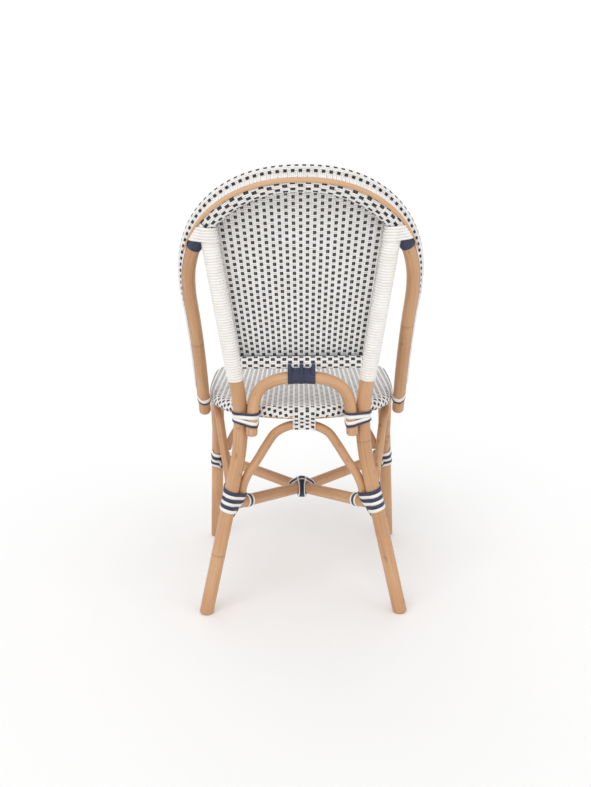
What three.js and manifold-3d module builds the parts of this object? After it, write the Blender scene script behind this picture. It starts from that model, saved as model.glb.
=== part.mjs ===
import * as THREE from 'three';
import Module from 'manifold-3d';
import { mergeVertices } from 'three/addons/utils/BufferGeometryUtils.js';

// A rattan bistro chair: bent poles bound with flat cord, with a woven seat and back.
// Millimetres, +Z up. The sitter faces -Y, so the back of the chair is at +Y, and +X is the sitter's left.
// The group is moved at the end, so that the origin is on the floor under the middle of the chair.

const wasm = await Module();
wasm.setup();

// Clearances
const touchGap = 0.3;
const bandGap = 0.35;

// Poles
const rearLegRadius = 14.5;
const frontLegRadius = 14.5;
const hoopRadius = 12.6;
const rimRadius = 9.8;
const lowerArchRadius = 11.8;
const railRadius = 9.8;
const ringRadius = 12.2;
const braceRadius = 8;
const apronRadius = 9;
const stretcherRadius = 12.5;

// Woven skins, flat binding cord and the trim strip
const rimWeave = 1.5;
const crestWeave = 2.4;
const railWeave = 2.4;
const seatWeave = 2.5;
const panelThickness = 3;
const archWeave = 2.4;
const cordThickness = 1.5;
const trimWidth = 11;
const trimThickness = 4;

// Seat: its top, and the ring's centre line. The heights and widths of the frame follow them.
const seatHeight = 440;
const seatHalf = 195;
const seatRearY = 229;
const seatFrontY = -196;
const ringAcrossShares = [
  0, 0.308, 0.538, 0.718, 0.85, 0.909, 0.944, 0.967, 0.985, 0.997, 1, 0.992, 0.944, 0.846, 0.641, 0.308,
];
const ringAlongShares = [
  1, 0.978, 0.932, 0.868, 0.78, 0.704, 0.614, 0.527, 0.412, 0.273, 0.155, 0.085, 0.028, 0.005, 0, 0,
];
const seatMiddleShare = 0.55;
const braceHalf = 62;

// Back hoop: it lies in a plane that leans back from its feet beside the seat
const backLean = THREE.MathUtils.degToRad(27.9);
const hoopFootY = 85.5;
const hoopFootDrop = 48.3;
const hoopFootHeight = seatHeight - hoopFootDrop;
const hoopFootOut = 13;
const hoopFootHalf = seatHalf + hoopFootOut;
const hoopWaistIn = 2;
const hoopBellyOut = 3.5;
const hoopHalf = hoopFootHalf + hoopBellyOut;
const hoopTopRise = 527.7;
const hoopCrownRise = 212.7;
const hoopBellyRise = hoopTopRise - hoopCrownRise;
const hoopSquareness = 2.1;

// Rim: its plane lies in front of the hoop's
const rimForward = 24.1;
const rimFootRise = 57;
const rimFootOut = 8.5;
const rimFootHalf = hoopFootHalf + rimFootOut;
const rimWaistIn = 1;
const rimBellyOut = 11.5;
const rimHalf = hoopHalf + rimBellyOut;
const rimBellyDrop = 10;
const rimBellyRise = hoopBellyRise - rimBellyDrop;
const rimTopOut = 12;
const rimTopRise = hoopTopRise + rimTopOut;
const rimSquareness = 2.3;

// What the hoop carries: the crest weave starts at a step of its length, and the bindings follow it downwards
const shoulderDrop = 68.06;
const shoulderHeight = hoopFootHeight + hoopTopRise * Math.cos(backLean) - shoulderDrop;
const crestStep = 16;
const crestWindingLength = 38;
const navyBandLength = 26;
const bindingParting = 2;
const trimEndShare = 0.303;

// Rear legs: straight below and above one bend at the hip
const rearFootHalf = 201.5;
const rearFootY = 239;
const hipShare = 0.5846;
const hipHalf = seatHalf * hipShare;
const hipForward = 12.5;
const hipY = seatRearY - hipForward;
const hipDrop = 47;
const hipHeight = seatHeight - hipDrop;
const hipBendReach = 88;

// Front legs: straight, splayed a little
const frontTopOut = 7.5;
const frontTopHalf = seatHalf + frontTopOut;
const frontTopBack = 41;
const frontTopY = seatFrontY + frontTopBack;
const frontSplay = 17.2;
const frontFootHalf = frontTopHalf + frontSplay;
const frontRake = 7;
const frontFootY = frontTopY - frontRake;

// Back rail, lower arch and panel
const railRise = 88.5;
const railHeight = seatHeight + railRise;
const railBack = 9.5;
const railY = seatRearY + railBack;
const lowerArchIn = 14.4;
const lowerArchHalf = hipHalf - lowerArchIn;
const lowerArchFootDrop = 59;
const lowerArchFoot = seatHeight - lowerArchFootDrop;
const lowerArchFootBack = 8.2;
const lowerArchFootY = seatRearY + lowerArchFootBack;
const lowerArchTopBack = 2;
const lowerArchTopY = railY + lowerArchTopBack;
const lowerArchAcrossShares = [0, 0.3, 0.55, 0.775, 0.9, 0.955, 0.985, 1];
const lowerArchRiseShares = [1, 0.985, 0.935, 0.83, 0.665, 0.47, 0.22, 0];
const panelFootOut = 12;
const panelFootHalf = hipHalf + panelFootOut;
const panelTopIn = 60;
const panelTopHalf = rimHalf - panelTopIn;
const panelTopForward = 20;
const panelCornerForward = 4.7;

// Aprons: four arches of one profile, whose arms stand beside the legs
const apronAcrossShares = [0, 0.189, 0.418, 0.578, 0.728, 0.855, 0.953, 1];
const apronRiseShares = [1, 0.99, 0.893, 0.706, 0.495, 0.334, 0.154, 0];
const rearApronDrop = 190;
const rearApronFoot = seatHeight - rearApronDrop;
const frontApronDrop = 210;
const frontApronFoot = seatHeight - frontApronDrop;
const apronTopGap = 2.6;
const rearApronBow = 8;
const frontApronBow = 28;
const sideApronBow = 12;
const rearArmBearing = THREE.MathUtils.degToRad(-148);
const rearSideArmBearing = THREE.MathUtils.degToRad(-85);
const frontArmBearing = THREE.MathUtils.degToRad(-168);
const frontSideArmBearing = THREE.MathUtils.degToRad(95);

// Stretchers: two bent poles that meet at their bends
const crossY = 34;
const crossDrop = 50;
const crossHeight = rearApronFoot - crossDrop;
const crossBendReach = 34;

// Bindings
const postTurns = 14;
const postWindingGap = 15;
const postWindingFoot = hipHeight + hipBendReach + postWindingGap;
const postWindingDrop = 42;
const postWindingTop = shoulderHeight - postWindingDrop;
const cordShare = 0.88;
const lashCord = 5.6;
const rearLashTurns = 6;
const rearLashRise = 14;
const rearLashDrop = 33;
const rearLashTop = rearApronFoot + rearLashRise;
const rearLashFoot = rearApronFoot - rearLashDrop;
const frontLashTurns = 5;
const frontLashRise = 8;
const frontLashDrop = 34;
const frontLashTop = frontApronFoot + frontLashRise;
const frontLashFoot = frontApronFoot - frontLashDrop;
const lashTurnsBelow = 2;
const lashFade = 24;
const lashFadeShare = 0.93;
const stretcherLashTurns = 3;
const stretcherLashStart = 42;
const stretcherLashPitch = 6.3;
const hipLashTurns = 1.5;
const hipLashDrop = 24;
const hipLashLength = 15;
const hipLashFoot = seatHeight - hipLashDrop;
const hipLashDip = 15;
const endLashTurns = 1.5;
const endLashDrop = 14;
const endLashLength = 15;
const endLashFoot = seatHeight - endLashDrop;
const endLashRise = 8;
const crestWindingTurns = 4;
const navyBandTurns = 2;
const centreTurns = 3;
const centreLashHalf = 9.5;
const centreWrapTurns = 6;
const centreWrapHalf = 25;

// Screws and dowels
const screwRadius = 2.4;
const screwBury = 2;
const hipScrewDrop = 12.5;
const hipScrewHeight = seatHeight - hipScrewDrop;
const endScrewDrop = 16;
const endScrewHeight = seatHeight - endScrewDrop;
const crossScrewHalf = 21;
const dowelRadius = 3;
const dowelReach = 14;

// How finely the surfaces are divided
const poleSides = 10;
const thinSides = 8;
const hoopSteps = 44;
const rimSteps = 34;
const legSteps = 22;
const frontLegSteps = 3;
const ringSteps = 32;
const archSteps = 24;
const stretcherSteps = 22;
const bendCrowding = 1.8;
const trimSteps = 20;
const panelColumns = 12;
const panelRows = 5;
const searchSteps = 40;
const pointsOfOne = 8;
const pointsOfTwo = 6;
const pointsOfThree = 4;

const rattan = { color: 0xc79256, roughness: 0.45, metalness: 0 };
const paleRattan = { color: 0xd3a067, roughness: 0.45, metalness: 0 };
const white = { color: 0xf0ece4, roughness: 0.5, metalness: 0 };
const woven = { color: 0xb9b6b2, roughness: 0.5, metalness: 0 };
const navy = { color: 0x3d4263, roughness: 0.45, metalness: 0 };
const steel = { color: 0x9a9a98, roughness: 0.4, metalness: 1 };
const dowelWood = { color: 0xcaa77c, roughness: 0.7, metalness: 0 };

const up = new THREE.Vector3(0, 0, 1);
const chair = new THREE.Group();

// Solids

function closed(geometry) {
  geometry.deleteAttribute('normal');
  geometry.deleteAttribute('uv');
  return mergeVertices(geometry);
}

function toManifold(geometry) {
  const vertProperties = new Float32Array(geometry.attributes.position.array);
  const triVerts = new Uint32Array(geometry.index.array);
  return new wasm.Manifold(new wasm.Mesh({ numProp: 3, vertProperties, triVerts }));
}

function cut(geometry, ...cutters) {
  let body = toManifold(geometry);
  for (const cutter of cutters) {
    body = body.subtract(toManifold(cutter));
  }
  const mesh = body.getMesh();
  const result = new THREE.BufferGeometry();
  result.setAttribute('position', new THREE.BufferAttribute(mesh.vertProperties, 3));
  result.setIndex(new THREE.BufferAttribute(mesh.triVerts, 1));
  return result;
}

function mirrored(geometry) {
  const copy = geometry.clone();
  copy.scale(-1, 1, 1);
  const faces = copy.index.array;
  for (let i = 0; i < faces.length; i += 3) {
    [faces[i], faces[i + 1]] = [faces[i + 1], faces[i]];
  }
  return copy;
}

function withMirrored(geometries) {
  return [...geometries, ...geometries.map(mirrored)];
}

// Turns all faces over if the volume that they enclose is negative
function outward(points, faces) {
  let volume = 0;
  for (let i = 0; i < faces.length; i += 3) {
    const [a, b, c] = faces.slice(i, i + 3).map((index) => points[index]);
    volume += a.dot(b.clone().cross(c));
  }
  if (volume < 0) {
    faces.reverse();
  }
  const geometry = new THREE.BufferGeometry().setFromPoints(points);
  geometry.setIndex(faces);
  return geometry;
}

// A closed solid through rings of points, with flat ends
function loft(rings) {
  const faces = [];
  const count = rings[0].length;
  for (let i = 1; i < rings.length; i += 1) {
    const here = i * count;
    const before = here - count;
    for (let k = 0; k < count; k += 1) {
      const next = (k + 1) % count;
      faces.push(before + k, before + next, here + next, before + k, here + next, here + k);
    }
  }
  const last = (rings.length - 1) * count;
  for (let k = 1; k < count - 1; k += 1) {
    faces.push(0, k + 1, k, last, last + k, last + k + 1);
  }
  return outward(rings.flat(), faces);
}

// A closed solid between two grids of points, given as columns
function slab(front, back) {
  const faces = [];
  const columns = front.length - 1;
  const rows = front[0].length - 1;
  const at = (i, j) => i * (rows + 1) + j;
  const behind = (columns + 1) * (rows + 1);
  for (let i = 0; i < columns; i += 1) {
    for (let j = 0; j < rows; j += 1) {
      const corners = [at(i, j), at(i + 1, j), at(i + 1, j + 1), at(i, j + 1)];
      const [a, b, c, d] = corners;
      faces.push(a, b, c, a, c, d, behind + c, behind + b, behind + a, behind + d, behind + c, behind + a);
    }
  }
  const edge = [];
  for (let i = 0; i < columns; i += 1) edge.push(at(i, 0));
  for (let j = 0; j < rows; j += 1) edge.push(at(columns, j));
  for (let i = columns; i > 0; i -= 1) edge.push(at(i, rows));
  for (let j = rows; j > 0; j -= 1) edge.push(at(0, j));
  edge.forEach((here, k) => {
    const next = edge[(k + 1) % edge.length];
    faces.push(next, here, behind + here, next, behind + here, behind + next);
  });
  return outward([...front.flat(), ...back.flat()], faces);
}

function add(name, geometry, finish) {
  const mesh = new THREE.Mesh(geometry, new THREE.MeshStandardMaterial(finish));
  mesh.name = name;
  chair.add(mesh);
}

function addPair(name, geometry, finish) {
  add(`${name}_left`, geometry, finish);
  add(`${name}_right`, mirrored(geometry), finish);
}

// Poles and sleeves along curves

class Stretch extends THREE.Curve {
  constructor(whole, from, to) {
    super();
    this.whole = whole;
    this.from = from;
    this.to = to;
  }

  getPoint(t, target = new THREE.Vector3()) {
    return this.whole.getPointAt(this.from + (this.to - this.from) * t, target);
  }
}

// A curve whose equal steps crowd towards its middle, where the bend is
class Crowded extends THREE.Curve {
  constructor(whole) {
    super();
    this.whole = whole;
  }

  place(share) {
    const fromMiddle = 2 * share - 1;
    return (1 + Math.sign(fromMiddle) * Math.abs(fromMiddle) ** bendCrowding) / 2;
  }

  getPointAt(share, target = new THREE.Vector3()) {
    return this.whole.getPointAt(this.place(share), target);
  }

  getTangentAt(share, target = new THREE.Vector3()) {
    return this.whole.getTangentAt(this.place(share), target);
  }
}

function polygon(radius, sides) {
  const points = [];
  for (let i = 0; i < sides; i += 1) {
    const angle = (i / sides) * Math.PI * 2;
    points.push(new THREE.Vector2(Math.cos(angle) * radius, Math.sin(angle) * radius));
  }
  return points;
}

function sweep(shape, path, steps) {
  return closed(new THREE.ExtrudeGeometry(shape, { steps, extrudePath: path, bevelEnabled: false }));
}

function pole(curve, radius, steps, sides = poleSides) {
  return sweep(new THREE.Shape(polygon(radius, sides)), curve, steps);
}

// The distance of a regular polygon's corners from its middle, where its sides are a radius away
function circumscribed(radius, sides = poleSides) {
  return radius / Math.cos(Math.PI / sides);
}

// How far the corners of a winding stand out from the axis of a pole
function woundReach(radius) {
  return circumscribed(circumscribed(radius) + bandGap, pointsOfOne) + cordThickness;
}

// A sleeve over whole steps of the pole under it
function sleeve(curve, radius, thickness, steps, firstStep, lastStep, sides = poleSides) {
  const whole = lastStep - firstStep === steps;
  const inner = radius + touchGap;
  const shape = new THREE.Shape(polygon(inner + thickness, sides));
  shape.holes.push(new THREE.Path(polygon(whole ? inner : circumscribed(inner, sides), sides)));
  const path = whole ? curve : new Stretch(curve, firstStep / steps, lastStep / steps);
  return sweep(shape, path, lastStep - firstStep);
}

function rod(from, to, radius) {
  const geometry = new THREE.CylinderGeometry(radius, radius, from.distanceTo(to), thinSides);
  const direction = to.clone().sub(from).normalize();
  geometry.applyQuaternion(new THREE.Quaternion().setFromUnitVectors(new THREE.Vector3(0, 1, 0), direction));
  geometry.translate(...from.clone().lerp(to, 0.5).toArray());
  return closed(geometry);
}

function block(low, high) {
  const geometry = new THREE.BoxGeometry(...high.clone().sub(low).toArray());
  geometry.translate(...low.clone().lerp(high, 0.5).toArray());
  return closed(geometry);
}

function smoothCurve(points, isLoop = false) {
  const curve = new THREE.CatmullRomCurve3(points, isLoop, 'centripetal');
  curve.arcLengthDivisions = 1000;
  return curve;
}

function bentCurve(from, corner, to, reach) {
  const start = corner.clone().add(from.clone().sub(corner).setLength(reach));
  const end = corner.clone().add(to.clone().sub(corner).setLength(reach));
  const curve = new THREE.CurvePath();
  curve.add(new THREE.LineCurve3(from, start));
  curve.add(new THREE.QuadraticBezierCurve3(start, corner, end));
  curve.add(new THREE.LineCurve3(end, to));
  return curve;
}

// Where along a curve a measure that grows along it reaches a value
function shareWhere(curve, measure, value) {
  let low = 0;
  let high = 1;
  for (let i = 0; i < searchSteps; i += 1) {
    const middle = (low + high) / 2;
    if (measure(curve.getPointAt(middle)) < value) {
      low = middle;
    } else {
      high = middle;
    }
  }
  return (low + high) / 2;
}

function atHeight(curve, height) {
  return curve.getPointAt(shareWhere(curve, (point) => point.z, height));
}

// Bindings: one flat cord wound round one pole or several

// A frame across the poles: along runs with the poles, and sideways is one direction across them
function sectionFrame(origin, along, sideways) {
  const over = along.clone().cross(sideways).normalize();
  const across = over.clone().cross(along).normalize();
  return { origin, along: along.clone().normalize(), across, over };
}

// The circle in which a pole crosses the frame's plane at a height along the frame
function sectionOf(curve, radius, frame, height) {
  const measure = (point) => point.clone().sub(frame.origin).dot(frame.along);
  const share = shareWhere(curve, measure, height);
  const offset = curve.getPointAt(share).sub(frame.origin);
  const slant = Math.abs(curve.getTangentAt(share).dot(frame.along));
  return { u: offset.dot(frame.across), v: offset.dot(frame.over), radius: radius / slant };
}

function blendCircles(one, other, share) {
  const mix = (key) => one[key] + (other[key] - one[key]) * share;
  return { u: mix('u'), v: mix('v'), radius: mix('radius') };
}

// Arcs of the outline that a tight cord takes round circles, counterclockwise
function outlineArcs(circles) {
  if (circles.length === 1) {
    return [{ ...circles[0], from: 0, to: Math.PI * 2 }];
  }
  const mean = { u: 0, v: 0 };
  for (const circle of circles) {
    mean.u += circle.u / circles.length;
    mean.v += circle.v / circles.length;
  }
  const bearing = (circle) => Math.atan2(circle.v - mean.v, circle.u - mean.u);
  const ordered = [...circles].sort((a, b) => bearing(a) - bearing(b));
  const normals = ordered.map((circle, i) => {
    const next = ordered[(i + 1) % ordered.length];
    const du = next.u - circle.u;
    const dv = next.v - circle.v;
    return Math.atan2(dv, du) - Math.acos((circle.radius - next.radius) / Math.hypot(du, dv));
  });
  return ordered.map((circle, i) => {
    const from = normals[(i + ordered.length - 1) % ordered.length];
    let to = normals[i];
    while (to < from) {
      to += Math.PI * 2;
    }
    while (to - from > Math.PI * 2) {
      to -= Math.PI * 2;
    }
    return { ...circle, from, to };
  });
}

function outlinePoint(circles, step, perArc) {
  const arcs = outlineArcs(circles);
  const arc = arcs[Math.floor(step / perArc)];
  const pieces = arcs.length === 1 ? perArc : perArc - 1;
  const angle = arc.from + ((arc.to - arc.from) * (step % perArc)) / pieces;
  const slack = 1 / Math.cos((arc.to - arc.from) / (2 * pieces));
  const reach = (arc.radius + bandGap) * slack + cordThickness / 2;
  return { angle, u: arc.u + Math.cos(angle) * reach, v: arc.v + Math.sin(angle) * reach };
}

// Winds a cord round the circles that circlesAt gives for each height. lift moves a point along the poles.
function winding({ frame, circlesAt, from, to, turns, perArc, width, startShare = 0, lift = () => 0 }) {
  const perTurn = circlesAt(from).length * perArc;
  const total = Math.round(turns * perTurn);
  const first = Math.round(startShare * perTurn);
  const stations = [];
  for (let i = 0; i <= total; i += 1) {
    const step = (first + i) % perTurn;
    const level = from + ((to - from) * i) / total;
    const raise = lift(outlinePoint(circlesAt(level), step, perArc), i / perTurn);
    const { angle, u, v } = outlinePoint(circlesAt(level + raise), step, perArc);
    const out = frame.across.clone().multiplyScalar(Math.cos(angle));
    out.addScaledVector(frame.over, Math.sin(angle));
    const point = frame.origin.clone().addScaledVector(frame.across, u).addScaledVector(frame.over, v);
    point.addScaledVector(frame.along, level + raise);
    stations.push({ point, out, side: frame.along });
  }
  return { stations, perTurn, width };
}

// The least gap between a cord's own turns, measured between the corners of its section
function leastGap({ stations, perTurn, width }) {
  const corners = stations.map(({ point, side }) => [
    point.clone().addScaledVector(side, width / 2),
    point.clone().addScaledVector(side, -width / 2),
  ]);
  let least = Infinity;
  for (let i = 0; i < corners.length; i += 1) {
    for (let j = i + Math.ceil(perTurn / 2); j < corners.length; j += 1) {
      least = Math.min(least, corners[i][0].distanceTo(corners[j][1]), corners[i][1].distanceTo(corners[j][0]));
    }
  }
  return least;
}

// Fills a length with the turns of one cord, edge to edge
function spread(length, turns) {
  const width = (cordShare * length) / (turns + cordShare);
  return { width, from: width / 2, to: length - width / 2 };
}

function wound(name, options) {
  const cord = winding(options);
  console.log(`${name}: least gap between turns ${leastGap(cord).toFixed(2)} mm`);
  const rings = cord.stations.map(({ point, out, side }) => {
    const corners = [[1, 1], [-1, 1], [-1, -1], [1, -1]];
    return corners.map(([edge, skin]) => {
      const corner = point.clone().addScaledVector(side, (edge * cord.width) / 2);
      return corner.addScaledVector(out, (skin * cordThickness) / 2);
    });
  });
  return loft(rings);
}

// The back hoop and the rim

function backPoint(across, rise, forward) {
  const y = hoopFootY + rise * Math.sin(backLean) - forward * Math.cos(backLean);
  const z = hoopFootHeight + rise * Math.cos(backLean) + forward * Math.sin(backLean);
  return new THREE.Vector3(across, y, z);
}

// Two slender legs and a crown between them, whose outline is a superellipse
function hoopCurve({ footRise, footHalf, waistIn, half, bellyRise, topRise, squareness, forward }) {
  const side = [];
  const legPoints = 4;
  for (let i = 0; i < legPoints; i += 1) {
    const share = i / legPoints;
    const across = footHalf + (half - footHalf) * share * share - waistIn * Math.sin(Math.PI * share);
    side.push([across, footRise + (bellyRise - footRise) * share]);
  }
  const crownPoints = 8;
  for (let i = 0; i < crownPoints; i += 1) {
    const angle = (i / crownPoints) * (Math.PI / 2);
    const across = half * Math.cos(angle) ** (2 / squareness);
    side.push([across, bellyRise + (topRise - bellyRise) * Math.sin(angle) ** (2 / squareness)]);
  }
  const left = side.map(([across, rise]) => backPoint(across, rise, forward));
  const right = side.map(([across, rise]) => backPoint(-across, rise, forward)).reverse();
  return smoothCurve([...left, backPoint(0, topRise, forward), ...right]);
}

const hoop = hoopCurve({
  footRise: 0,
  footHalf: hoopFootHalf,
  waistIn: hoopWaistIn,
  half: hoopHalf,
  bellyRise: hoopBellyRise,
  topRise: hoopTopRise,
  squareness: hoopSquareness,
  forward: 0,
});
const hoopLeft = new Stretch(hoop, 0, 0.5);

const rim = hoopCurve({
  footRise: rimFootRise,
  footHalf: rimFootHalf,
  waistIn: rimWaistIn,
  half: rimHalf,
  bellyRise: rimBellyRise,
  topRise: rimTopRise,
  squareness: rimSquareness,
  forward: rimForward,
});

// The strip lies between the back of the hoop and its outside at the top, and turns outwards towards its ends
function trimSection(along, fromEnd) {
  const centre = hoop.getPointAt(along);
  const back = new THREE.Vector3(0, Math.cos(backLean), -Math.sin(backLean));
  const outside = back.clone().cross(hoop.getTangentAt(along)).normalize();
  const topTurn = THREE.MathUtils.degToRad(45);
  const endTurn = THREE.MathUtils.degToRad(84);
  const turn = topTurn + (endTurn - topTurn) * (1 - fromEnd) ** 1.35;
  const out = back.clone().multiplyScalar(Math.cos(turn)).addScaledVector(outside, Math.sin(turn));
  const beside = outside.clone().multiplyScalar(Math.cos(turn)).addScaledVector(back, -Math.sin(turn));
  const fullShare = Math.min(1, 0.25 + 2.5 * fromEnd);
  const half = (trimWidth / 2) * fullShare;
  const height = trimThickness * fullShare;
  const seat = woundReach(hoopRadius) + 2 * touchGap;
  const outline = [[-half, 0], [half, 0], [half, height * 0.5], [half / 2, height], [-half / 2, height]];
  outline.push([-half, height * 0.5]);
  return outline.map(([side, rise]) => {
    return centre.clone().addScaledVector(out, seat + rise).addScaledVector(beside, side);
  });
}

function hoopTrim() {
  const sections = [];
  for (let i = 0; i <= trimSteps; i += 1) {
    const share = i / trimSteps;
    const along = trimEndShare + (1 - 2 * trimEndShare) * share;
    sections.push(trimSection(along, 1 - Math.abs(2 * share - 1)));
  }
  return loft(sections);
}

// A winding on the hoop, below the end of the crest weave
function hoopWinding(name, below, length, turns) {
  const crestEnd = crestStep / hoopSteps;
  const high = hoop.getPointAt(crestEnd - below / hoop.getLength());
  const low = hoop.getPointAt(crestEnd - (below + length) / hoop.getLength());
  const frame = sectionFrame(low, high.clone().sub(low), new THREE.Vector3(1, 0, 0));
  return wound(name, {
    frame,
    circlesAt: (height) => [sectionOf(hoopLeft, circumscribed(hoopRadius), frame, height)],
    turns,
    perArc: pointsOfOne,
    ...spread(low.distanceTo(high), turns),
  });
}

function crestEndWinding() {
  return hoopWinding('crest end winding', bindingParting, crestWindingLength, crestWindingTurns);
}

function navyBand() {
  return hoopWinding('navy band', 2 * bindingParting + crestWindingLength, navyBandLength, navyBandTurns);
}

// Legs

function rearLegCurve() {
  const corner = new THREE.Vector3(hipHalf, hipY, hipHeight);
  const foot = new THREE.Vector3(rearFootHalf, rearFootY, 0);
  const belowFloor = foot.clone().sub(corner).setLength(rearLegRadius);
  return bentCurve(foot.add(belowFloor), corner, atHeight(hoopLeft, shoulderHeight), hipBendReach);
}

const ringReach = ringRadius + touchGap + seatWeave;
const ringHeight = seatHeight - ringReach;
const ringUnderside = ringHeight - ringReach;

function frontLegCurve() {
  const foot = new THREE.Vector3(frontFootHalf, frontFootY, 0);
  const top = new THREE.Vector3(frontTopHalf, frontTopY, ringUnderside);
  const overrun = top.clone().sub(foot).setLength(frontLegRadius);
  return new THREE.LineCurve3(foot.sub(overrun), top.add(overrun));
}

const rearLeg = rearLegCurve();
const frontLeg = frontLegCurve();

function slice(low, high) {
  const reach = frontFootHalf * 2;
  return block(new THREE.Vector3(-reach, -reach, low), new THREE.Vector3(reach, reach, high));
}

function rearLegSolid() {
  const lastStep = hoopSteps / 2;
  const firstStep = crestStep - 3;
  const hoopTool = sweep(
    new THREE.Shape(polygon(circumscribed(woundReach(hoopRadius) + touchGap), poleSides)),
    new Stretch(hoop, firstStep / hoopSteps, lastStep / hoopSteps),
    lastStep - firstStep,
  );
  const floor = slice(-hipHeight, 0);
  return cut(pole(rearLeg, rearLegRadius, legSteps), floor, hoopTool, hipScrew(touchGap, rearLegRadius));
}

function frontLegSolid() {
  const above = slice(ringUnderside - touchGap, seatHeight);
  const floor = slice(-hipHeight, 0);
  return cut(pole(frontLeg, frontLegRadius, frontLegSteps), floor, above, legDowel(touchGap));
}

function postWinding() {
  const low = atHeight(rearLeg, postWindingFoot);
  const high = atHeight(rearLeg, postWindingTop);
  const frame = sectionFrame(low, high.clone().sub(low), new THREE.Vector3(1, 0, 0));
  return wound('post winding', {
    frame,
    circlesAt: () => [{ u: 0, v: 0, radius: rearLegRadius }],
    turns: postTurns,
    perArc: pointsOfOne,
    ...spread(low.distanceTo(high), postTurns),
  });
}

// Seat

function ringCurve() {
  const half = ringAcrossShares.map((across, i) => {
    const y = seatFrontY + (seatRearY - seatFrontY) * ringAlongShares[i];
    return new THREE.Vector3(seatHalf * across, y, ringHeight);
  });
  const front = new THREE.Vector3(0, seatFrontY, ringHeight);
  const otherHalf = half.slice(1).map((point) => point.clone().setX(-point.x)).reverse();
  return smoothCurve([...half, front, ...otherHalf], true);
}

const ring = ringCurve();

// The ring is one bent pole whose ends meet at the middle of the back
function ringPole(radius) {
  const jointShare = touchGap / 2 / ring.getLength();
  return pole(new Stretch(ring, jointShare, 1 - jointShare), radius, ringSteps);
}

function seatHoles() {
  const screws = [hipScrew(touchGap, rearLegRadius), hoopEndScrew(touchGap, hoopRadius)];
  return withMirrored([...screws, legDowel(touchGap)]);
}

// The weave lies flat over the ring, turns round its outside and ends under it
function seatWeaveSolid() {
  const bend = (radius, degrees) => {
    const angle = THREE.MathUtils.degToRad(degrees);
    return [Math.cos(angle) * radius, Math.sin(angle) * radius];
  };
  const widestBend = 40;
  const bends = [90, 50, 15, -20, -55, -90, -115];
  const lining = circumscribed(ringRadius + touchGap, 360 / widestBend);
  const profile = bends.map((degrees) => bend(ringReach, degrees));
  profile.push(...bends.map((degrees) => bend(lining, degrees)).reverse());
  return cut(aroundSeat(profile), ...seatHoles());
}

// A skin whose section follows the ring, closed over the seat
function aroundSeat(profile) {
  const points = [];
  const faces = [];
  const count = profile.length;
  for (let i = 0; i < ringSteps; i += 1) {
    const point = ring.getPointAt(i / ringSteps);
    const out = up.clone().cross(ring.getTangentAt(i / ringSteps));
    for (const [off, rise] of profile) {
      points.push(point.clone().addScaledVector(out, off).addScaledVector(up, rise));
    }
  }
  const middleY = seatFrontY + (seatRearY - seatFrontY) * seatMiddleShare;
  const middle = points.length;
  points.push(new THREE.Vector3(0, middleY, ringHeight + profile[0][1]));
  points.push(new THREE.Vector3(0, middleY, ringHeight + profile[count - 1][1]));
  for (let i = 0; i < ringSteps; i += 1) {
    const here = i * count;
    const next = ((i + 1) % ringSteps) * count;
    for (let k = 0; k < count - 1; k += 1) {
      faces.push(here + k, next + k, next + k + 1, here + k, next + k + 1, here + k + 1);
    }
    faces.push(middle, next, here, middle + 1, here + count - 1, next + count - 1);
  }
  return outward(points, faces);
}

function seatBrace() {
  const height = ringHeight + ringRadius - braceRadius;
  const rearQuarter = new Stretch(ring, 0, 0.25);
  const rear = rearQuarter.getPointAt(shareWhere(rearQuarter, (point) => point.x, braceHalf));
  const line = new THREE.LineCurve3(
    new THREE.Vector3(braceHalf, seatFrontY + ringRadius / 2, height),
    new THREE.Vector3(braceHalf, rear.y - ringRadius / 2, height),
  );
  return cut(pole(line, braceRadius, 1, thinSides), ringPole(ringRadius + touchGap));
}

// Screws and dowels. spare widens and lengthens the hole for one, and overrun opens it to the outside

function hipScrew(spare = 0, overrun = 0) {
  const leg = atHeight(rearLeg, hipScrewHeight);
  const inward = new THREE.Vector3(0, hoopFootY, hipScrewHeight).sub(leg).normalize();
  const start = leg.clone().addScaledVector(inward, screwBury - rearLegRadius - overrun);
  const end = leg.clone().addScaledVector(inward, rearLegRadius + ringReach + screwBury + spare);
  return rod(start, end, screwRadius + spare);
}

function hoopEndScrew(spare = 0, overrun = 0) {
  const foot = atHeight(hoopLeft, endScrewHeight);
  const start = foot.clone().setX(foot.x + hoopRadius - screwBury + overrun);
  const end = foot.clone().setX(foot.x - hoopRadius - ringReach - screwBury - spare);
  return rod(start, end, screwRadius + spare);
}

function crossScrew(spare = 0) {
  const start = new THREE.Vector3(-crossScrewHalf - spare, crossY, crossHeight);
  return rod(start, start.clone().setX(crossScrewHalf + spare), screwRadius + spare);
}

// The dowel stands midway between the leg's axis and the ring's
function legDowel(spare = 0) {
  const legTop = new THREE.Vector3(frontTopHalf, frontTopY, ringUnderside);
  const near = ring.getSpacedPoints(hoopSteps * searchSteps).reduce((best, point) => {
    return point.distanceTo(legTop) < best.distanceTo(legTop) ? point : best;
  });
  const middle = legTop.clone().lerp(near, 0.5).setZ(ringUnderside);
  const low = middle.clone().addScaledVector(up, -dowelReach - spare);
  return rod(low, middle.addScaledVector(up, dowelReach + spare), dowelRadius + spare);
}

// Arches

function archCurve(from, to, bow, acrossShares, riseShares, top) {
  const centre = from.clone().lerp(to, 0.5);
  const place = (across, rise) => {
    const end = across < 0 ? from : to;
    const point = centre.clone().lerp(end, Math.abs(across)).addScaledVector(bow, 1 - across * across);
    return point.setZ(end.z + (top - end.z) * rise);
  };
  const near = acrossShares.slice(1).map((across, i) => place(-across, riseShares[i + 1])).reverse();
  return smoothCurve([...near, ...acrossShares.map((across, i) => place(across, riseShares[i]))]);
}

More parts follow.
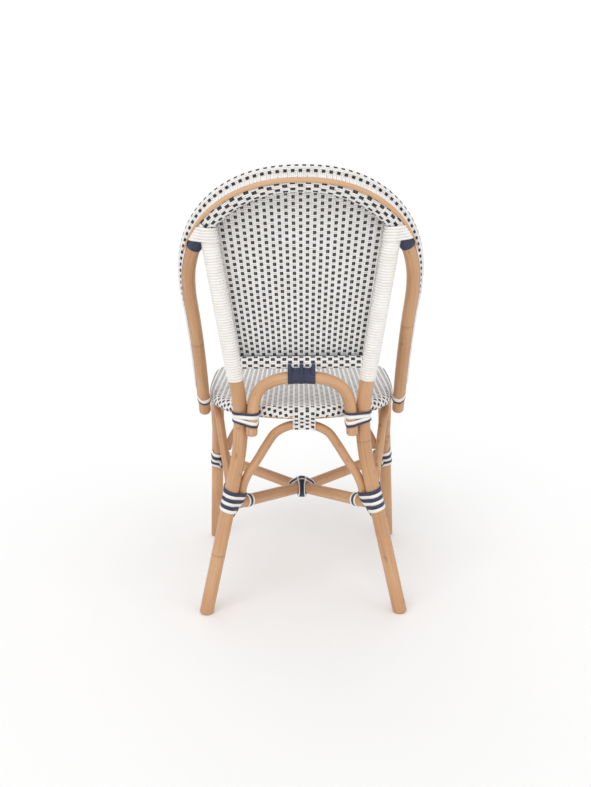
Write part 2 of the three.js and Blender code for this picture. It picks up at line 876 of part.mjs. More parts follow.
// The foot of an apron's arm, which stands against a leg
function armFoot(leg, legRadius, height, bearing) {
  const reach = circumscribed(legRadius) + apronRadius + touchGap;
  const point = atHeight(leg, height);
  return point.add(new THREE.Vector3(Math.cos(bearing) * reach, Math.sin(bearing) * reach, 0));
}

const apronTop = ringUnderside - apronRadius - apronTopGap;

function apron(from, to, bow) {
  return archCurve(from, to, bow, apronAcrossShares, apronRiseShares, apronTop);
}

function acrossApron(foot, bow) {
  return apron(foot, foot.clone().setX(-foot.x), new THREE.Vector3(0, bow, 0));
}

const rearArmFoot = armFoot(rearLeg, rearLegRadius, rearApronFoot, rearArmBearing);
const rearSideArmFoot = armFoot(rearLeg, rearLegRadius, rearApronFoot, rearSideArmBearing);
const frontArmFoot = armFoot(frontLeg, frontLegRadius, frontApronFoot, frontArmBearing);
const frontSideArmFoot = armFoot(frontLeg, frontLegRadius, frontApronFoot, frontSideArmBearing);
const rearApron = acrossApron(rearArmFoot, rearApronBow);
const frontApron = acrossApron(frontArmFoot, -frontApronBow);
const sideApron = apron(rearSideArmFoot, frontSideArmFoot, new THREE.Vector3(sideApronBow, 0, 0));

const railReach = railRadius + touchGap + railWeave;
const lowerArchTop = railHeight - railReach - woundReach(lowerArchRadius) - touchGap;

function lowerArchCurve() {
  const foot = new THREE.Vector3(lowerArchHalf, lowerArchFootY, lowerArchFoot);
  const bow = new THREE.Vector3(0, lowerArchTopY - lowerArchFootY, 0);
  const other = foot.clone().setX(-foot.x);
  return archCurve(foot, other, bow, lowerArchAcrossShares, lowerArchRiseShares, lowerArchTop);
}

const lowerArch = lowerArchCurve();

function rearArchWeave() {
  const middleStep = archSteps / 2;
  return sleeve(rearApron, apronRadius, archWeave, archSteps, middleStep - 1, middleStep + 1, poleSides);
}

// Stretchers: each crosses a leg between the turns of its lashing

function crossingHeight(foot, top, turns) {
  return foot + ((top - foot) * lashTurnsBelow) / turns;
}

const rearCrossing = crossingHeight(rearLashFoot, rearLashTop, rearLashTurns);
const frontCrossing = crossingHeight(frontLashFoot, frontLashTop, frontLashTurns);

// The corner of the bend is set so that the two bends touch at the middle
function stretcherCurve() {
  const rear = atHeight(rearLeg, rearCrossing);
  const front = atHeight(frontLeg, frontCrossing);
  const corner = new THREE.Vector3(0, crossY, crossHeight);
  const bend = bentCurve(rear, corner, front, crossBendReach).curves[1];
  const apex = Math.min(...bend.getPoints(searchSteps).map((point) => point.x));
  corner.setX(stretcherRadius + touchGap / 2 - apex);
  return bentCurve(rear, corner, front, crossBendReach);
}

const stretcher = stretcherCurve();

function stretcherSolid() {
  return cut(
    pole(new Crowded(stretcher), stretcherRadius, stretcherSteps),
    pole(rearLeg, rearLegRadius + touchGap, legSteps),
    pole(frontLeg, frontLegRadius + touchGap, frontLegSteps),
    crossScrew(touchGap),
  );
}

// Back rail and panel

function postTool() {
  const clear = bandGap + cordThickness + touchGap;
  return pole(rearLeg, circumscribed(circumscribed(rearLegRadius + clear, pointsOfOne)), legSteps);
}

function railLine() {
  const reach = atHeight(rearLeg, railHeight).x;
  return new THREE.LineCurve3(
    new THREE.Vector3(reach, railY, railHeight),
    new THREE.Vector3(-reach, railY, railHeight),
  );
}

function bottomRail() {
  return cut(pole(railLine(), railRadius, 1), ...withMirrored([postTool()]));
}

function bottomRailWeave() {
  return cut(sleeve(railLine(), railRadius, railWeave, 1, 0, 1), ...withMirrored([postTool()]));
}

// The panel hangs in front of the crest, inside the rim, and comes down in front of the bottom rail
function panelPoint(across, share) {
  const x = panelTopHalf * across;
  const rimReach = rimRadius + rimWeave + 2 * touchGap + panelThickness / 2;
  const crownShare = (1 - Math.abs(x / (rimHalf - rimReach)) ** rimSquareness) ** (1 / rimSquareness);
  const rise = rimBellyRise + (rimTopRise - rimReach - rimBellyRise) * crownShare;
  const top = backPoint(x, rise, panelTopForward + panelCornerForward * across * across);
  const foot = new THREE.Vector3(panelFootHalf * across, railY, railHeight);
  const lean = Math.atan2(top.y - foot.y + railReach, top.z - foot.z);
  foot.y -= (railReach + touchGap + panelThickness / 2) / Math.cos(lean);
  return foot.lerp(top, share);
}

function backPanel() {
  const step = 0.01;
  const side = (offset) => {
    const grid = [];
    for (let i = 0; i <= panelColumns; i += 1) {
      const column = [];
      for (let j = 0; j <= panelRows; j += 1) {
        const across = (2 * i) / panelColumns - 1;
        const share = j / panelRows;
        const sideways = panelPoint(across + step, share).sub(panelPoint(across - step, share));
        const upward = panelPoint(across, share + step).sub(panelPoint(across, share - step));
        const normal = sideways.cross(upward).normalize();
        column.push(panelPoint(across, share).addScaledVector(normal, offset));
      }
      grid.push(column);
    }
    return grid;
  };
  return slab(side(panelThickness / 2), side(-panelThickness / 2));
}

// Lashings

// Round a leg and two arms beside it. Below the arms the cord draws in to the leg alone,
// and its turns part above and below the stretcher.
function legLashing(name, { leg, legRadius, arms, armReach, foot, top, turns, crossing }) {
  const low = atHeight(leg, foot);
  const high = atHeight(leg, top);
  const outwards = atHeight(leg, crossing).sub(new THREE.Vector3(0, crossY, crossing));
  const frame = sectionFrame(low, high.clone().sub(low), outwards);
  const length = low.distanceTo(high);
  const pitch = (length - lashCord) / turns;
  const circlesAt = (height) => {
    const legCircle = sectionOf(leg, legRadius + touchGap, frame, height);
    const armCircles = arms.map(({ curve, base }) => {
      const lowest = base.clone().sub(frame.origin).dot(frame.along);
      const circle = sectionOf(curve, armReach, frame, Math.max(height, lowest));
      const fade = THREE.MathUtils.clamp((lowest - apronRadius - height) / lashFade, 0, lashFadeShare);
      return blendCircles(circle, legCircle, fade);
    });
    return [legCircle, ...armCircles];
  };
  const parting = stretcherRadius + lashCord / 2 + cordThickness - pitch / 2;
  return wound(name, {
    frame,
    circlesAt,
    from: lashCord / 2,
    to: length - lashCord / 2,
    turns,
    perArc: pointsOfThree,
    width: lashCord,
    startShare: 0.5,
    lift: ({ u, v }, turn) => {
      const facing = -u / Math.hypot(u, v);
      return parting * THREE.MathUtils.smoothstep(facing, 0.1, 0.7) * (turn < lashTurnsBelow ? -1 : 1);
    },
  });
}

function rearLegLashing() {
  return legLashing('rear leg lashing', {
    leg: rearLeg,
    legRadius: rearLegRadius,
    arms: [
      { curve: new Stretch(rearApron, 0, 0.5), base: rearArmFoot },
      { curve: new Stretch(sideApron, 0, 0.5), base: rearSideArmFoot },
    ],
    armReach: apronRadius + 5 * touchGap,
    foot: rearLashFoot,
    top: rearLashTop,
    turns: rearLashTurns,
    crossing: rearCrossing,
  });
}

function frontLegLashing() {
  return legLashing('front leg lashing', {
    leg: frontLeg,
    legRadius: frontLegRadius,
    arms: [
      { curve: new Stretch(frontApron, 0, 0.5), base: frontArmFoot },
      { curve: new Stretch(sideApron, 1, 0.5), base: frontSideArmFoot },
    ],
    armReach: apronRadius + 2 * touchGap,
    foot: frontLashFoot,
    top: frontLashTop,
    turns: frontLashTurns,
    crossing: frontCrossing,
  });
}

// A few turns on the stretcher itself, just inside the leg lashing
function stretcherLashing(name, curve) {
  const start = curve.getPointAt(0);
  const frame = sectionFrame(start, curve.getTangentAt(0), up);
  return wound(name, {
    frame,
    circlesAt: () => [{ u: 0, v: 0, radius: stretcherRadius }],
    from: stretcherLashStart,
    to: stretcherLashStart + stretcherLashTurns * stretcherLashPitch,
    turns: stretcherLashTurns,
    perArc: pointsOfOne,
    width: lashCord,
  });
}

// Round the rear leg and the lower arch. In front of them the cord dips under the ring
function hipLashing() {
  const frame = sectionFrame(atHeight(rearLeg, hipLashFoot), up, new THREE.Vector3(1, 0, 0));
  const archLeg = new Stretch(lowerArch, 0, 0.5);
  return wound('hip lashing', {
    frame,
    circlesAt: (height) => [
      sectionOf(rearLeg, circumscribed(rearLegRadius), frame, height),
      sectionOf(archLeg, circumscribed(lowerArchRadius), frame, height),
    ],
    from: hipLashLength,
    to: 0,
    turns: hipLashTurns,
    perArc: pointsOfTwo,
    width: lashCord,
    startShare: 0.5,
    lift: ({ angle }) => -hipLashDip * THREE.MathUtils.smoothstep(-Math.sin(angle), 0.3, 0.9),
  });
}

// Round the foot of the hoop. On the seat's side the cord rises over the ring
function hoopEndLashing() {
  const low = atHeight(hoopLeft, endLashFoot);
  const high = atHeight(hoopLeft, endLashFoot + endLashLength);
  const frame = sectionFrame(low, high.clone().sub(low), new THREE.Vector3(1, 0, 0));
  return wound('hoop end lashing', {
    frame,
    circlesAt: (height) => [sectionOf(hoopLeft, hoopRadius, frame, height)],
    from: 0,
    to: low.distanceTo(high),
    turns: endLashTurns,
    perArc: pointsOfOne,
    width: lashCord,
    startShare: 0.75,
    lift: ({ angle }) => endLashRise * THREE.MathUtils.smoothstep(-Math.cos(angle), -0.2, 0.8),
  });
}

const centreReach = stretcherRadius + 7 * touchGap;

function crossFrame() {
  const middle = new THREE.Vector3(0, crossY, crossHeight);
  return sectionFrame(middle, new THREE.Vector3(0, -1, 0), new THREE.Vector3(1, 0, 0));
}

// Round both bends of the stretchers
function centreLashingRing() {
  const frame = crossFrame();
  return wound('centre lashing ring', {
    frame,
    circlesAt: (height) => {
      const circle = sectionOf(stretcher, centreReach, frame, height);
      return [circle, { ...circle, u: -circle.u }];
    },
    from: -centreLashHalf,
    to: centreLashHalf,
    turns: centreTurns,
    perArc: pointsOfTwo,
    width: lashCord,
  });
}

// Over the ring lashing, and down between the stretchers in front of and behind it
function centreLashingStem() {
  const frame = sectionFrame(new THREE.Vector3(0, crossY, crossHeight), new THREE.Vector3(1, 0, 0), up);
  const reach = centreLashHalf + lashCord / 2 + touchGap;
  const under = sectionOf(stretcher, centreReach, crossFrame(), centreLashHalf);
  const radius = circumscribed(under.radius + bandGap, 2 * (pointsOfTwo - 1)) + cordThickness;
  const stemTurnShare = 1 - 1 / (2 * pointsOfTwo);
  return wound('centre lashing stem', {
    frame,
    circlesAt: () => [{ u: 0, v: reach, radius }, { u: 0, v: -reach, radius }],
    from: 0,
    to: 0,
    turns: stemTurnShare,
    perArc: pointsOfTwo,
    width: lashCord,
  });
}

// Round the top of the lower arch, under the bottom rail
function centreWrap() {
  const start = new THREE.Vector3(centreWrapHalf, lowerArchTopY, lowerArchTop);
  const frame = sectionFrame(start, new THREE.Vector3(-1, 0, 0), up);
  return wound('centre wrap', {
    frame,
    circlesAt: (height) => [sectionOf(lowerArch, circumscribed(lowerArchRadius), frame, height)],
    turns: centreWrapTurns,
    perArc: pointsOfOne,
    ...spread(2 * centreWrapHalf, centreWrapTurns),
  });
}

function backHoop() {
  return cut(pole(hoop, hoopRadius, hoopSteps), ...withMirrored([hoopEndScrew(touchGap, hoopRadius)]));
}

// The frame
addPair('rear_leg', rearLegSolid(), rattan);
addPair('front_leg', frontLegSolid(), rattan);
add('back_hoop', backHoop(), rattan);
add('rim_core', pole(rim, rimRadius, rimSteps, thinSides), rattan);
add('bottom_rail', bottomRail(), rattan);
add('lower_back_arch', pole(lowerArch, lowerArchRadius, archSteps), rattan);
add('seat_ring', cut(ringPole(ringRadius), ...seatHoles()), rattan);
addPair('seat_brace', seatBrace(), rattan);
add('apron_arch_rear', pole(rearApron, apronRadius, archSteps, thinSides), rattan);
add('apron_arch_front', pole(frontApron, apronRadius, archSteps, thinSides), rattan);
addPair('apron_arch', pole(sideApron, apronRadius, archSteps, thinSides), rattan);
addPair('stretcher', stretcherSolid(), rattan);
add('hoop_trim', hoopTrim(), paleRattan);

// The weave
add('rim_weave', sleeve(rim, rimRadius, rimWeave, rimSteps, 0, rimSteps, thinSides), woven);
add('crest_weave', sleeve(hoop, hoopRadius, crestWeave, hoopSteps, crestStep, hoopSteps - crestStep), woven);
add('back_panel', backPanel(), woven);
add('bottom_rail_weave', bottomRailWeave(), woven);
add('seat_weave', seatWeaveSolid(), woven);
add('rear_arch_weave', rearArchWeave(), woven);

// The bindings
const stretcherRear = new Stretch(stretcher, 0, 0.5);
const stretcherFront = new Stretch(stretcher, 1, 0.5);
addPair('post_winding', postWinding(), white);
addPair('crest_end_winding', crestEndWinding(), white);
addPair('navy_band', navyBand(), navy);
addPair('rear_leg_lashing', rearLegLashing(), navy);
addPair('front_leg_lashing', frontLegLashing(), navy);
addPair('rear_stretcher_lashing', stretcherLashing('rear stretcher lashing', stretcherRear), navy);
addPair('front_stretcher_lashing', stretcherLashing('front stretcher lashing', stretcherFront), navy);
addPair('hip_lashing', hipLashing(), navy);
addPair('hoop_end_lashing', hoopEndLashing(), navy);
add('centre_lashing_ring', centreLashingRing(), navy);
add('centre_lashing_stem', centreLashingStem(), navy);
add('centre_wrap', centreWrap(), navy);

// The fasteners
addPair('hip_screw', hipScrew(), steel);
addPair('hoop_end_screw', hoopEndScrew(), steel);
add('cross_screw', crossScrew(), steel);
addPair('front_leg_dowel', legDowel(), dowelWood);

const extent = new THREE.Box3().setFromObject(chair);
chair.position.y = -(extent.min.y + extent.max.y) / 2;

export default chair;
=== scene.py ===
import math

import bpy
import numpy as np
from mathutils import Euler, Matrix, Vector
from mathutils.kdtree import KDTree

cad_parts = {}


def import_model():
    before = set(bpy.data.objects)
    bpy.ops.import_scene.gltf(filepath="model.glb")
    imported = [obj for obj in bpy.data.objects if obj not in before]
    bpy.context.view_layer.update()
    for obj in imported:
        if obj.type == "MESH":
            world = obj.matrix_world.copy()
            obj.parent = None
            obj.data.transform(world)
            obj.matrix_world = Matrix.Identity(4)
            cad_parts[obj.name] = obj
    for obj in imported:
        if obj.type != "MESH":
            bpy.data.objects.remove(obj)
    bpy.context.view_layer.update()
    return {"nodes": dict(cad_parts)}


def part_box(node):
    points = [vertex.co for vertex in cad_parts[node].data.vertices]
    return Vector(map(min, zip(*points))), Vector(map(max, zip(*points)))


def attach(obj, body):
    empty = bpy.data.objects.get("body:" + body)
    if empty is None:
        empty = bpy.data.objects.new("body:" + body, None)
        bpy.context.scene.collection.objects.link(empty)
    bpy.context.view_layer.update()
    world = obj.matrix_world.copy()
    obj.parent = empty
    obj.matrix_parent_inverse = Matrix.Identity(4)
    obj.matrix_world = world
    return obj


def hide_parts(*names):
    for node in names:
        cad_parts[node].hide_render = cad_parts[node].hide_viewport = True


# A rattan bistro chair seen from behind. Metres, +Z up, the back of the chair at +Y.

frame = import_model()

# Sizes of the frame, as the CAD model has them, with the middle of the seat's sides as Y = 0
HOOP_RADIUS = 0.0126
RIM_RADIUS = 0.0098
REAR_LEG_RADIUS = 0.0145
FRONT_LEG_RADIUS = 0.0145
LOWER_ARCH_RADIUS = 0.0118
RAIL_RADIUS = 0.0098
RING_RADIUS = 0.0122
BRACE_RADIUS = 0.008
APRON_RADIUS = 0.009
STRETCHER_RADIUS = 0.0125

BACK_LEAN = math.radians(27.9)
HOOP_FOOT_Y = 0.0855
HOOP_FOOT_HEIGHT = 0.3917
HOOP = dict(foot_rise=0, foot_half=0.208, waist_in=0.002, half=0.2115, belly_rise=0.315,
            top_rise=0.5277, squareness=2.1, forward=0)
RIM = dict(foot_rise=0.057, foot_half=0.2165, waist_in=0.001, half=0.223, belly_rise=0.305,
           top_rise=0.5397, squareness=2.3, forward=0.0241)
HOOP_LEG_POINTS = 4
HOOP_CROWN_POINTS = 8
CREST_SHARE = 16 / 44
SHOULDER_HEIGHT = 0.790

REAR_FOOT = (0.2015, 0.239)
HIP = (0.114, 0.2165, 0.393)
HIP_BEND_REACH = 0.088
FRONT_FOOT = (0.2197, -0.162)
FRONT_TOP = (0.2025, -0.155)
FRONT_LEG_SINK = 0.004

SEAT_HEIGHT = 0.440
SEAT_HALF = 0.195
SEAT_REAR_Y = 0.229
SEAT_FRONT_Y = -0.196
SEAT_REACH = 0.015
RING_HEIGHT = SEAT_HEIGHT - SEAT_REACH
RING_UNDERSIDE = RING_HEIGHT - SEAT_REACH
RING_ACROSS_SHARES = [0, 0.308, 0.538, 0.718, 0.85, 0.909, 0.944, 0.967, 0.985, 0.997, 1, 0.992,
                      0.944, 0.846, 0.641, 0.308]
RING_ALONG_SHARES = [1, 0.978, 0.932, 0.868, 0.78, 0.704, 0.614, 0.527, 0.412, 0.273, 0.155, 0.085,
                     0.028, 0.005, 0, 0]
BRACE_HALF = 0.062
BRACE_REAR_GAP = 0.010

RAIL_HEIGHT = 0.5285
RAIL_Y = 0.2385
LOWER_ARCH_FOOT = (0.0996, 0.2372, 0.381)
LOWER_ARCH_TOP = (0.2405, 0.5002)
LOWER_ARCH_ACROSS_SHARES = [0, 0.3, 0.55, 0.775, 0.9, 0.955, 0.985, 1]
LOWER_ARCH_RISE_SHARES = [1, 0.985, 0.935, 0.83, 0.665, 0.47, 0.22, 0]

APRON_ACROSS_SHARES = [0, 0.189, 0.418, 0.578, 0.728, 0.855, 0.953, 1]
APRON_RISE_SHARES = [1, 0.99, 0.893, 0.706, 0.495, 0.334, 0.154, 0]
APRON_TOP = 0.3984
REAR_APRON_FOOT = 0.250
FRONT_APRON_FOOT = 0.230
ARM_REACH = 0.02455
REAR_APRON_BOW = 0.008
FRONT_APRON_BOW = 0.028
SIDE_APRON_BOW = 0.012
REAR_ARM_BEARING = -148
REAR_SIDE_ARM_BEARING = -85
FRONT_ARM_BEARING = -168
FRONT_SIDE_ARM_BEARING = 95

CROSS_Y = 0.034
CROSS_HEIGHT = 0.200
CROSS_BEND_REACH = 0.034
CROSS_GAP = 0.00015
REAR_CROSSING = 0.2327
FRONT_CROSSING = 0.2128

UP = np.array([0.0, 0.0, 1.0])
SIDEWAYS = np.array([1.0, 0.0, 0.0])
BACKWARDS = np.array([0.0, 1.0, 0.0])
BACK = np.array([0.0, math.cos(BACK_LEAN), -math.sin(BACK_LEAN)])
MIRROR = np.array([-1.0, 1.0, 1.0])
rail_low, rail_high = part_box("bottom_rail")
SHIFT = np.array([0.0, (rail_low.y + rail_high.y) / 2 - RAIL_Y, 0.0])


# Curves

SPAN_POINTS = 60
RAIL_POINTS = 60
LEG_POINTS = 200
BRACE_POINTS = 100
PART_POINTS = 400
TANGENT_STEP = 0.0015


def unit(vectors):
    vectors = np.asarray(vectors, float)
    return vectors / np.linalg.norm(vectors, axis=-1, keepdims=True)


def smoothstep(value, low, high):
    share = min(max((value - low) / (high - low), 0), 1)
    return share * share * (3 - 2 * share)


def point_at(place, reach, points):
    """The point at a distance along a line of points, of which reach tells the distances."""
    return np.stack([np.interp(place, reach, column) for column in points.T], -1)


class Curve:
    """A fine polyline whose points are found by their distance along it."""

    def __init__(self, points, closed=False):
        self.points = np.asarray(points, float)
        steps = np.linalg.norm(np.diff(self.points, axis=0), axis=1)
        self.reach = np.concatenate([[0.0], np.cumsum(steps)])
        self.length = self.reach[-1]
        self.closed = closed

    def at(self, distance):
        """An open curve runs on straight past its ends."""
        distance = np.asarray(distance, float)
        if self.closed:
            return point_at(np.mod(distance, self.length), self.reach, self.points)
        inside = np.clip(distance, 0, self.length)
        over = (distance - inside)[..., None]
        ends = np.where(over < 0, self.points[1] - self.points[0], self.points[-1] - self.points[-2])
        return point_at(inside, self.reach, self.points) + unit(ends) * over

    def along(self, distance):
        distance = np.asarray(distance, float)
        return unit(self.at(distance + TANGENT_STEP) - self.at(distance - TANGENT_STEP))

    def part(self, start, end):
        return Curve(self.at(np.linspace(start, end, PART_POINTS)))

    def half(self, far=False):
        """From one end to the middle."""
        return self.part(self.length if far else 0, self.length / 2)

    def where(self, measure, value):
        """The distance at which a measure that grows along the curve reaches a value."""
        return np.interp(value, measure, self.reach)

    def where_height(self, height):
        return self.where(self.points[:, 2], height)

    def at_height(self, height):
        return self.at(self.where_height(height))


def smooth_curve(points, closed=False):
    """A curve through all the points, whose bends allow for the spacing of the points.

    near, middle and far are the square roots of three distances in a row."""
    points = np.asarray(points, float)
    if closed:
        padded = np.vstack([points[-1:], points, points[:2]])
    else:
        padded = np.vstack([2 * points[0] - points[1], points, 2 * points[-1] - points[-2]])
    share = np.linspace(0, 1, SPAN_POINTS, endpoint=False)[:, None]
    spans = []
    for a, b, c, d in zip(padded, padded[1:], padded[2:], padded[3:]):
        near, middle, far = (np.sum((q - p) ** 2) ** 0.25 for p, q in ((a, b), (b, c), (c, d)))
        leave = ((b - a) / near - (c - a) / (near + middle) + (c - b) / middle) * middle
        reach = ((c - b) / middle - (d - b) / (middle + far) + (d - c) / far) * middle
        square = -3 * b + 3 * c - 2 * leave - reach
        cube = 2 * b - 2 * c + leave + reach
        spans.append(b + leave * share + square * share ** 2 + cube * share ** 3)
    return Curve(np.vstack([*spans, padded[-2:-1]]) + SHIFT, closed)


def bent_curve(start, corner, end, reach):
    """Two straight legs with a rounded corner between them."""
    start, corner, end = (np.asarray(p, float) for p in (start, corner, end))
    near = corner + unit(start - corner) * reach
    far = corner + unit(end - corner) * reach
    share = np.linspace(0, 1, SPAN_POINTS)[:, None]
    bend = near * (1 - share) ** 2 + corner * 2 * share * (1 - share) + far * share ** 2
    first, last = start + (near - start) * share, far + (end - far) * share
    return Curve(np.vstack([first[:-1], bend, last[1:]]) + SHIFT)


def straight_curve(start, end, count):
    return Curve(np.linspace(start, end, count) + SHIFT)


def back_point(across, rise, forward):
    """A point of the leaning back, by its distance up the slope and in front of the hoop's plane."""
    y = HOOP_FOOT_Y + rise * math.sin(BACK_LEAN) - forward * math.cos(BACK_LEAN)
    z = HOOP_FOOT_HEIGHT + rise * math.cos(BACK_LEAN) + forward * math.sin(BACK_LEAN)
    return np.stack(np.broadcast_arrays(across, y, z), -1)


def hoop_curve(foot_rise, foot_half, waist_in, half, belly_rise, top_rise, squareness, forward):
    """Two slightly waisted legs with a squarish round crown between them."""
    side = []
    for share in np.arange(HOOP_LEG_POINTS) / HOOP_LEG_POINTS:
        across = foot_half + (half - foot_half) * share ** 2 - waist_in * math.sin(math.pi * share)
        side.append((across, foot_rise + (belly_rise - foot_rise) * share))
    for angle in np.arange(HOOP_CROWN_POINTS) / HOOP_CROWN_POINTS * math.pi / 2:
        across = half * math.cos(angle) ** (2 / squareness)
        side.append((across, belly_rise + (top_rise - belly_rise) * math.sin(angle) ** (2 / squareness)))
    left = [back_point(across, rise, forward) for across, rise in side]
    return smooth_curve([*left, back_point(0, top_rise, forward), *(point * MIRROR for point in left[::-1])])


def arch_curve(start, end, bow, across_shares, rise_shares, top):
    """An arch between two feet, whose top stands off their line by the bow."""
    start, end, bow = (np.asarray(p, float) for p in (start, end, bow))
    centre = (start + end) / 2

    def place(across, rise):
        foot = start if across < 0 else end
        point = centre + (foot - centre) * abs(across) + bow * (1 - across * across)
        point[2] = foot[2] + (top - foot[2]) * rise
        return point

    pairs = list(zip(across_shares, rise_shares))
    near = [place(-across, rise) for across, rise in reversed(pairs[1:])]
    return smooth_curve(near + [place(across, rise) for across, rise in pairs])


def ring_curve():
    """From the back round to the front on one side, and back again on the other."""
    half = [np.array([SEAT_HALF * across, SEAT_FRONT_Y + (SEAT_REAR_Y - SEAT_FRONT_Y) * along, RING_HEIGHT])
            for across, along in zip(RING_ACROSS_SHARES, RING_ALONG_SHARES)]
    front = np.array([0, SEAT_FRONT_Y, RING_HEIGHT])
    return smooth_curve([*half, front, *(point * MIRROR for point in half[:0:-1])], closed=True)


def arm_foot(leg, height, bearing):
    """Where an arch stands beside its leg, in a direction given in degrees."""
    bearing = math.radians(bearing)
    return leg.at_height(height) - SHIFT + np.array([math.cos(bearing), math.sin(bearing), 0]) * ARM_REACH


def apron(start, end, bow):
    return arch_curve(start, end, bow, APRON_ACROSS_SHARES, APRON_RISE_SHARES, APRON_TOP)


def stretcher_curve():
    """The corner is set so that the bend just clears the middle of the chair."""
    rear = rear_leg.at_height(REAR_CROSSING) - SHIFT
    front = front_leg.at_height(FRONT_CROSSING) - SHIFT
    corner = np.array([0, CROSS_Y, CROSS_HEIGHT])
    apex = bent_curve(rear, corner, front, CROSS_BEND_REACH).points[:, 0].min()
    corner[0] = STRETCHER_RADIUS + CROSS_GAP - apex
    return bent_curve(rear, corner, front, CROSS_BEND_REACH)


def rail_curve(reach):
    return straight_curve((reach, RAIL_Y, RAIL_HEIGHT), (-reach, RAIL_Y, RAIL_HEIGHT), RAIL_POINTS)


hoop = hoop_curve(**HOOP)
hoop_left = hoop.half()
rim = hoop_curve(**RIM)
ring = ring_curve()
rear_leg = bent_curve((*REAR_FOOT, 0), HIP, hoop_left.at_height(SHOULDER_HEIGHT) - SHIFT, HIP_BEND_REACH)
front_leg = straight_curve((*FRONT_FOOT, 0), (*FRONT_TOP, RING_UNDERSIDE + FRONT_LEG_SINK), LEG_POINTS)
rear_arm = arm_foot(rear_leg, REAR_APRON_FOOT, REAR_ARM_BEARING)
rear_side_arm = arm_foot(rear_leg, REAR_APRON_FOOT, REAR_SIDE_ARM_BEARING)
front_arm = arm_foot(front_leg, FRONT_APRON_FOOT, FRONT_ARM_BEARING)
front_side_arm = arm_foot(front_leg, FRONT_APRON_FOOT, FRONT_SIDE_ARM_BEARING)
rear_apron = apron(rear_arm, rear_arm * MIRROR, (0, REAR_APRON_BOW, 0))
front_apron = apron(front_arm, front_arm * MIRROR, (0, -FRONT_APRON_BOW, 0))
side_apron = apron(rear_side_arm, front_side_arm, (SIDE_APRON_BOW, 0, 0))
lower_arch = arch_curve(
    LOWER_ARCH_FOOT, LOWER_ARCH_FOOT * MIRROR, (0, LOWER_ARCH_TOP[0] - LOWER_ARCH_FOOT[1], 0),
    LOWER_ARCH_ACROSS_SHARES, LOWER_ARCH_RISE_SHARES, LOWER_ARCH_TOP[1])
stretcher = stretcher_curve()


# Materials

MIX_FACTOR, MIX_FIRST, MIX_SECOND, MIX_RESULT = 0, 6, 7, 2
NOISE_ROUGHNESS = 0.55
COAT_WEIGHT = 0.15
COAT_ROUGHNESS = 0.3
STREAK_SCALE = (330, 330, 9)
STREAK_STOPS = (0.3, 0.5, 0.72)
PATCH_SCALE = (14, 14, 7)
PATCH_STOPS = (0.3, 0.52, 0.75)
PATCH_SHARE = 0.55
SPOT_SCALE = (70, 70, 38)
SPOT_STOPS = (0.7, 0.78)
SPOT_SHARE = 0.5
GRAIN_SCALE = (900, 900, 30)
GRAIN_ROUGHNESS = (0.34, 0.52)
GRAIN_BUMP = (0.25, 0.0003)
THREAD_SCALE = 1500
THREAD_SHARE = 0.22
THREAD_SMOOTHER = 0.08
THREAD_ROUGHER = 0.1
THREAD_BUMP = (0.2, 0.0002)
SHADE_SCALE = 45
SCRATCH_SCALE = 600
SCRATCH_ROUGHNESS = (0.3, 0.5)
SOFT_STOPS = (0.3, 0.7)


def from_display(colour):
    """A colour as a screen shows it, 0 to 255, in the linear values that a shader takes."""
    shares = [value / 255 for value in colour]
    return (*(s / 12.92 if s <= 0.04045 else ((s + 0.055) / 1.055) ** 2.4 for s in shares), 1.0)


class Tree:
    """The node tree of a material or a world, built up call by call."""

    def __init__(self, owner, surface):
        owner.use_nodes = True
        self.owner = owner
        self.tree = owner.node_tree
        self.surface = self.tree.nodes[surface]

    def feed(self, node, sockets):
        """Gives each socket a value, or a link to another node's output."""
        for key, value in sockets.items():
            if isinstance(value, bpy.types.NodeSocket):
                self.tree.links.new(value, node.inputs[key])
            else:
                node.inputs[key].default_value = value

    def node(self, kind, output, sockets=None, **settings):
        made = self.tree.nodes.new(f"ShaderNode{kind}")
        for key, value in settings.items():
            setattr(made, key, value)
        self.feed(made, sockets or {})
        return made.outputs[output]

    def finish(self, sockets):
        self.feed(self.surface, sockets)
        return self.owner

    def place(self):
        return self.node("TexCoord", "Object")

    def noise(self, vector, scale=1.0, detail=3.0):
        return self.node("TexNoise", "Fac", {
            "Vector": vector, "Scale": scale, "Detail": detail, "Roughness": NOISE_ROUGHNESS})

    def ramp(self, value, stops, *colours):
        output = self.node("ValToRGB", "Color", {"Fac": value})
        elements = output.node.color_ramp.elements
        while len(elements) < len(stops):
            elements.new(0.5)
        for element, position, colour in zip(elements, stops, colours):
            element.position = position
            element.color = colour
        return output

    def mix(self, factor, first, second):
        return self.node("Mix", MIX_RESULT, {MIX_FACTOR: factor, MIX_FIRST: first, MIX_SECOND: second},
                         data_type="RGBA")

    def scaled(self, value, low, high):
        return self.node("MapRange", "Result", {"Value": value, "To Min": low, "To Max": high})

    def bump(self, value, strength, distance):
        return self.node("Bump", "Normal", {"Height": value, "Strength": strength, "Distance": distance})


def new_shader(name):
    return Tree(bpy.data.materials.new(name), "Principled BSDF")


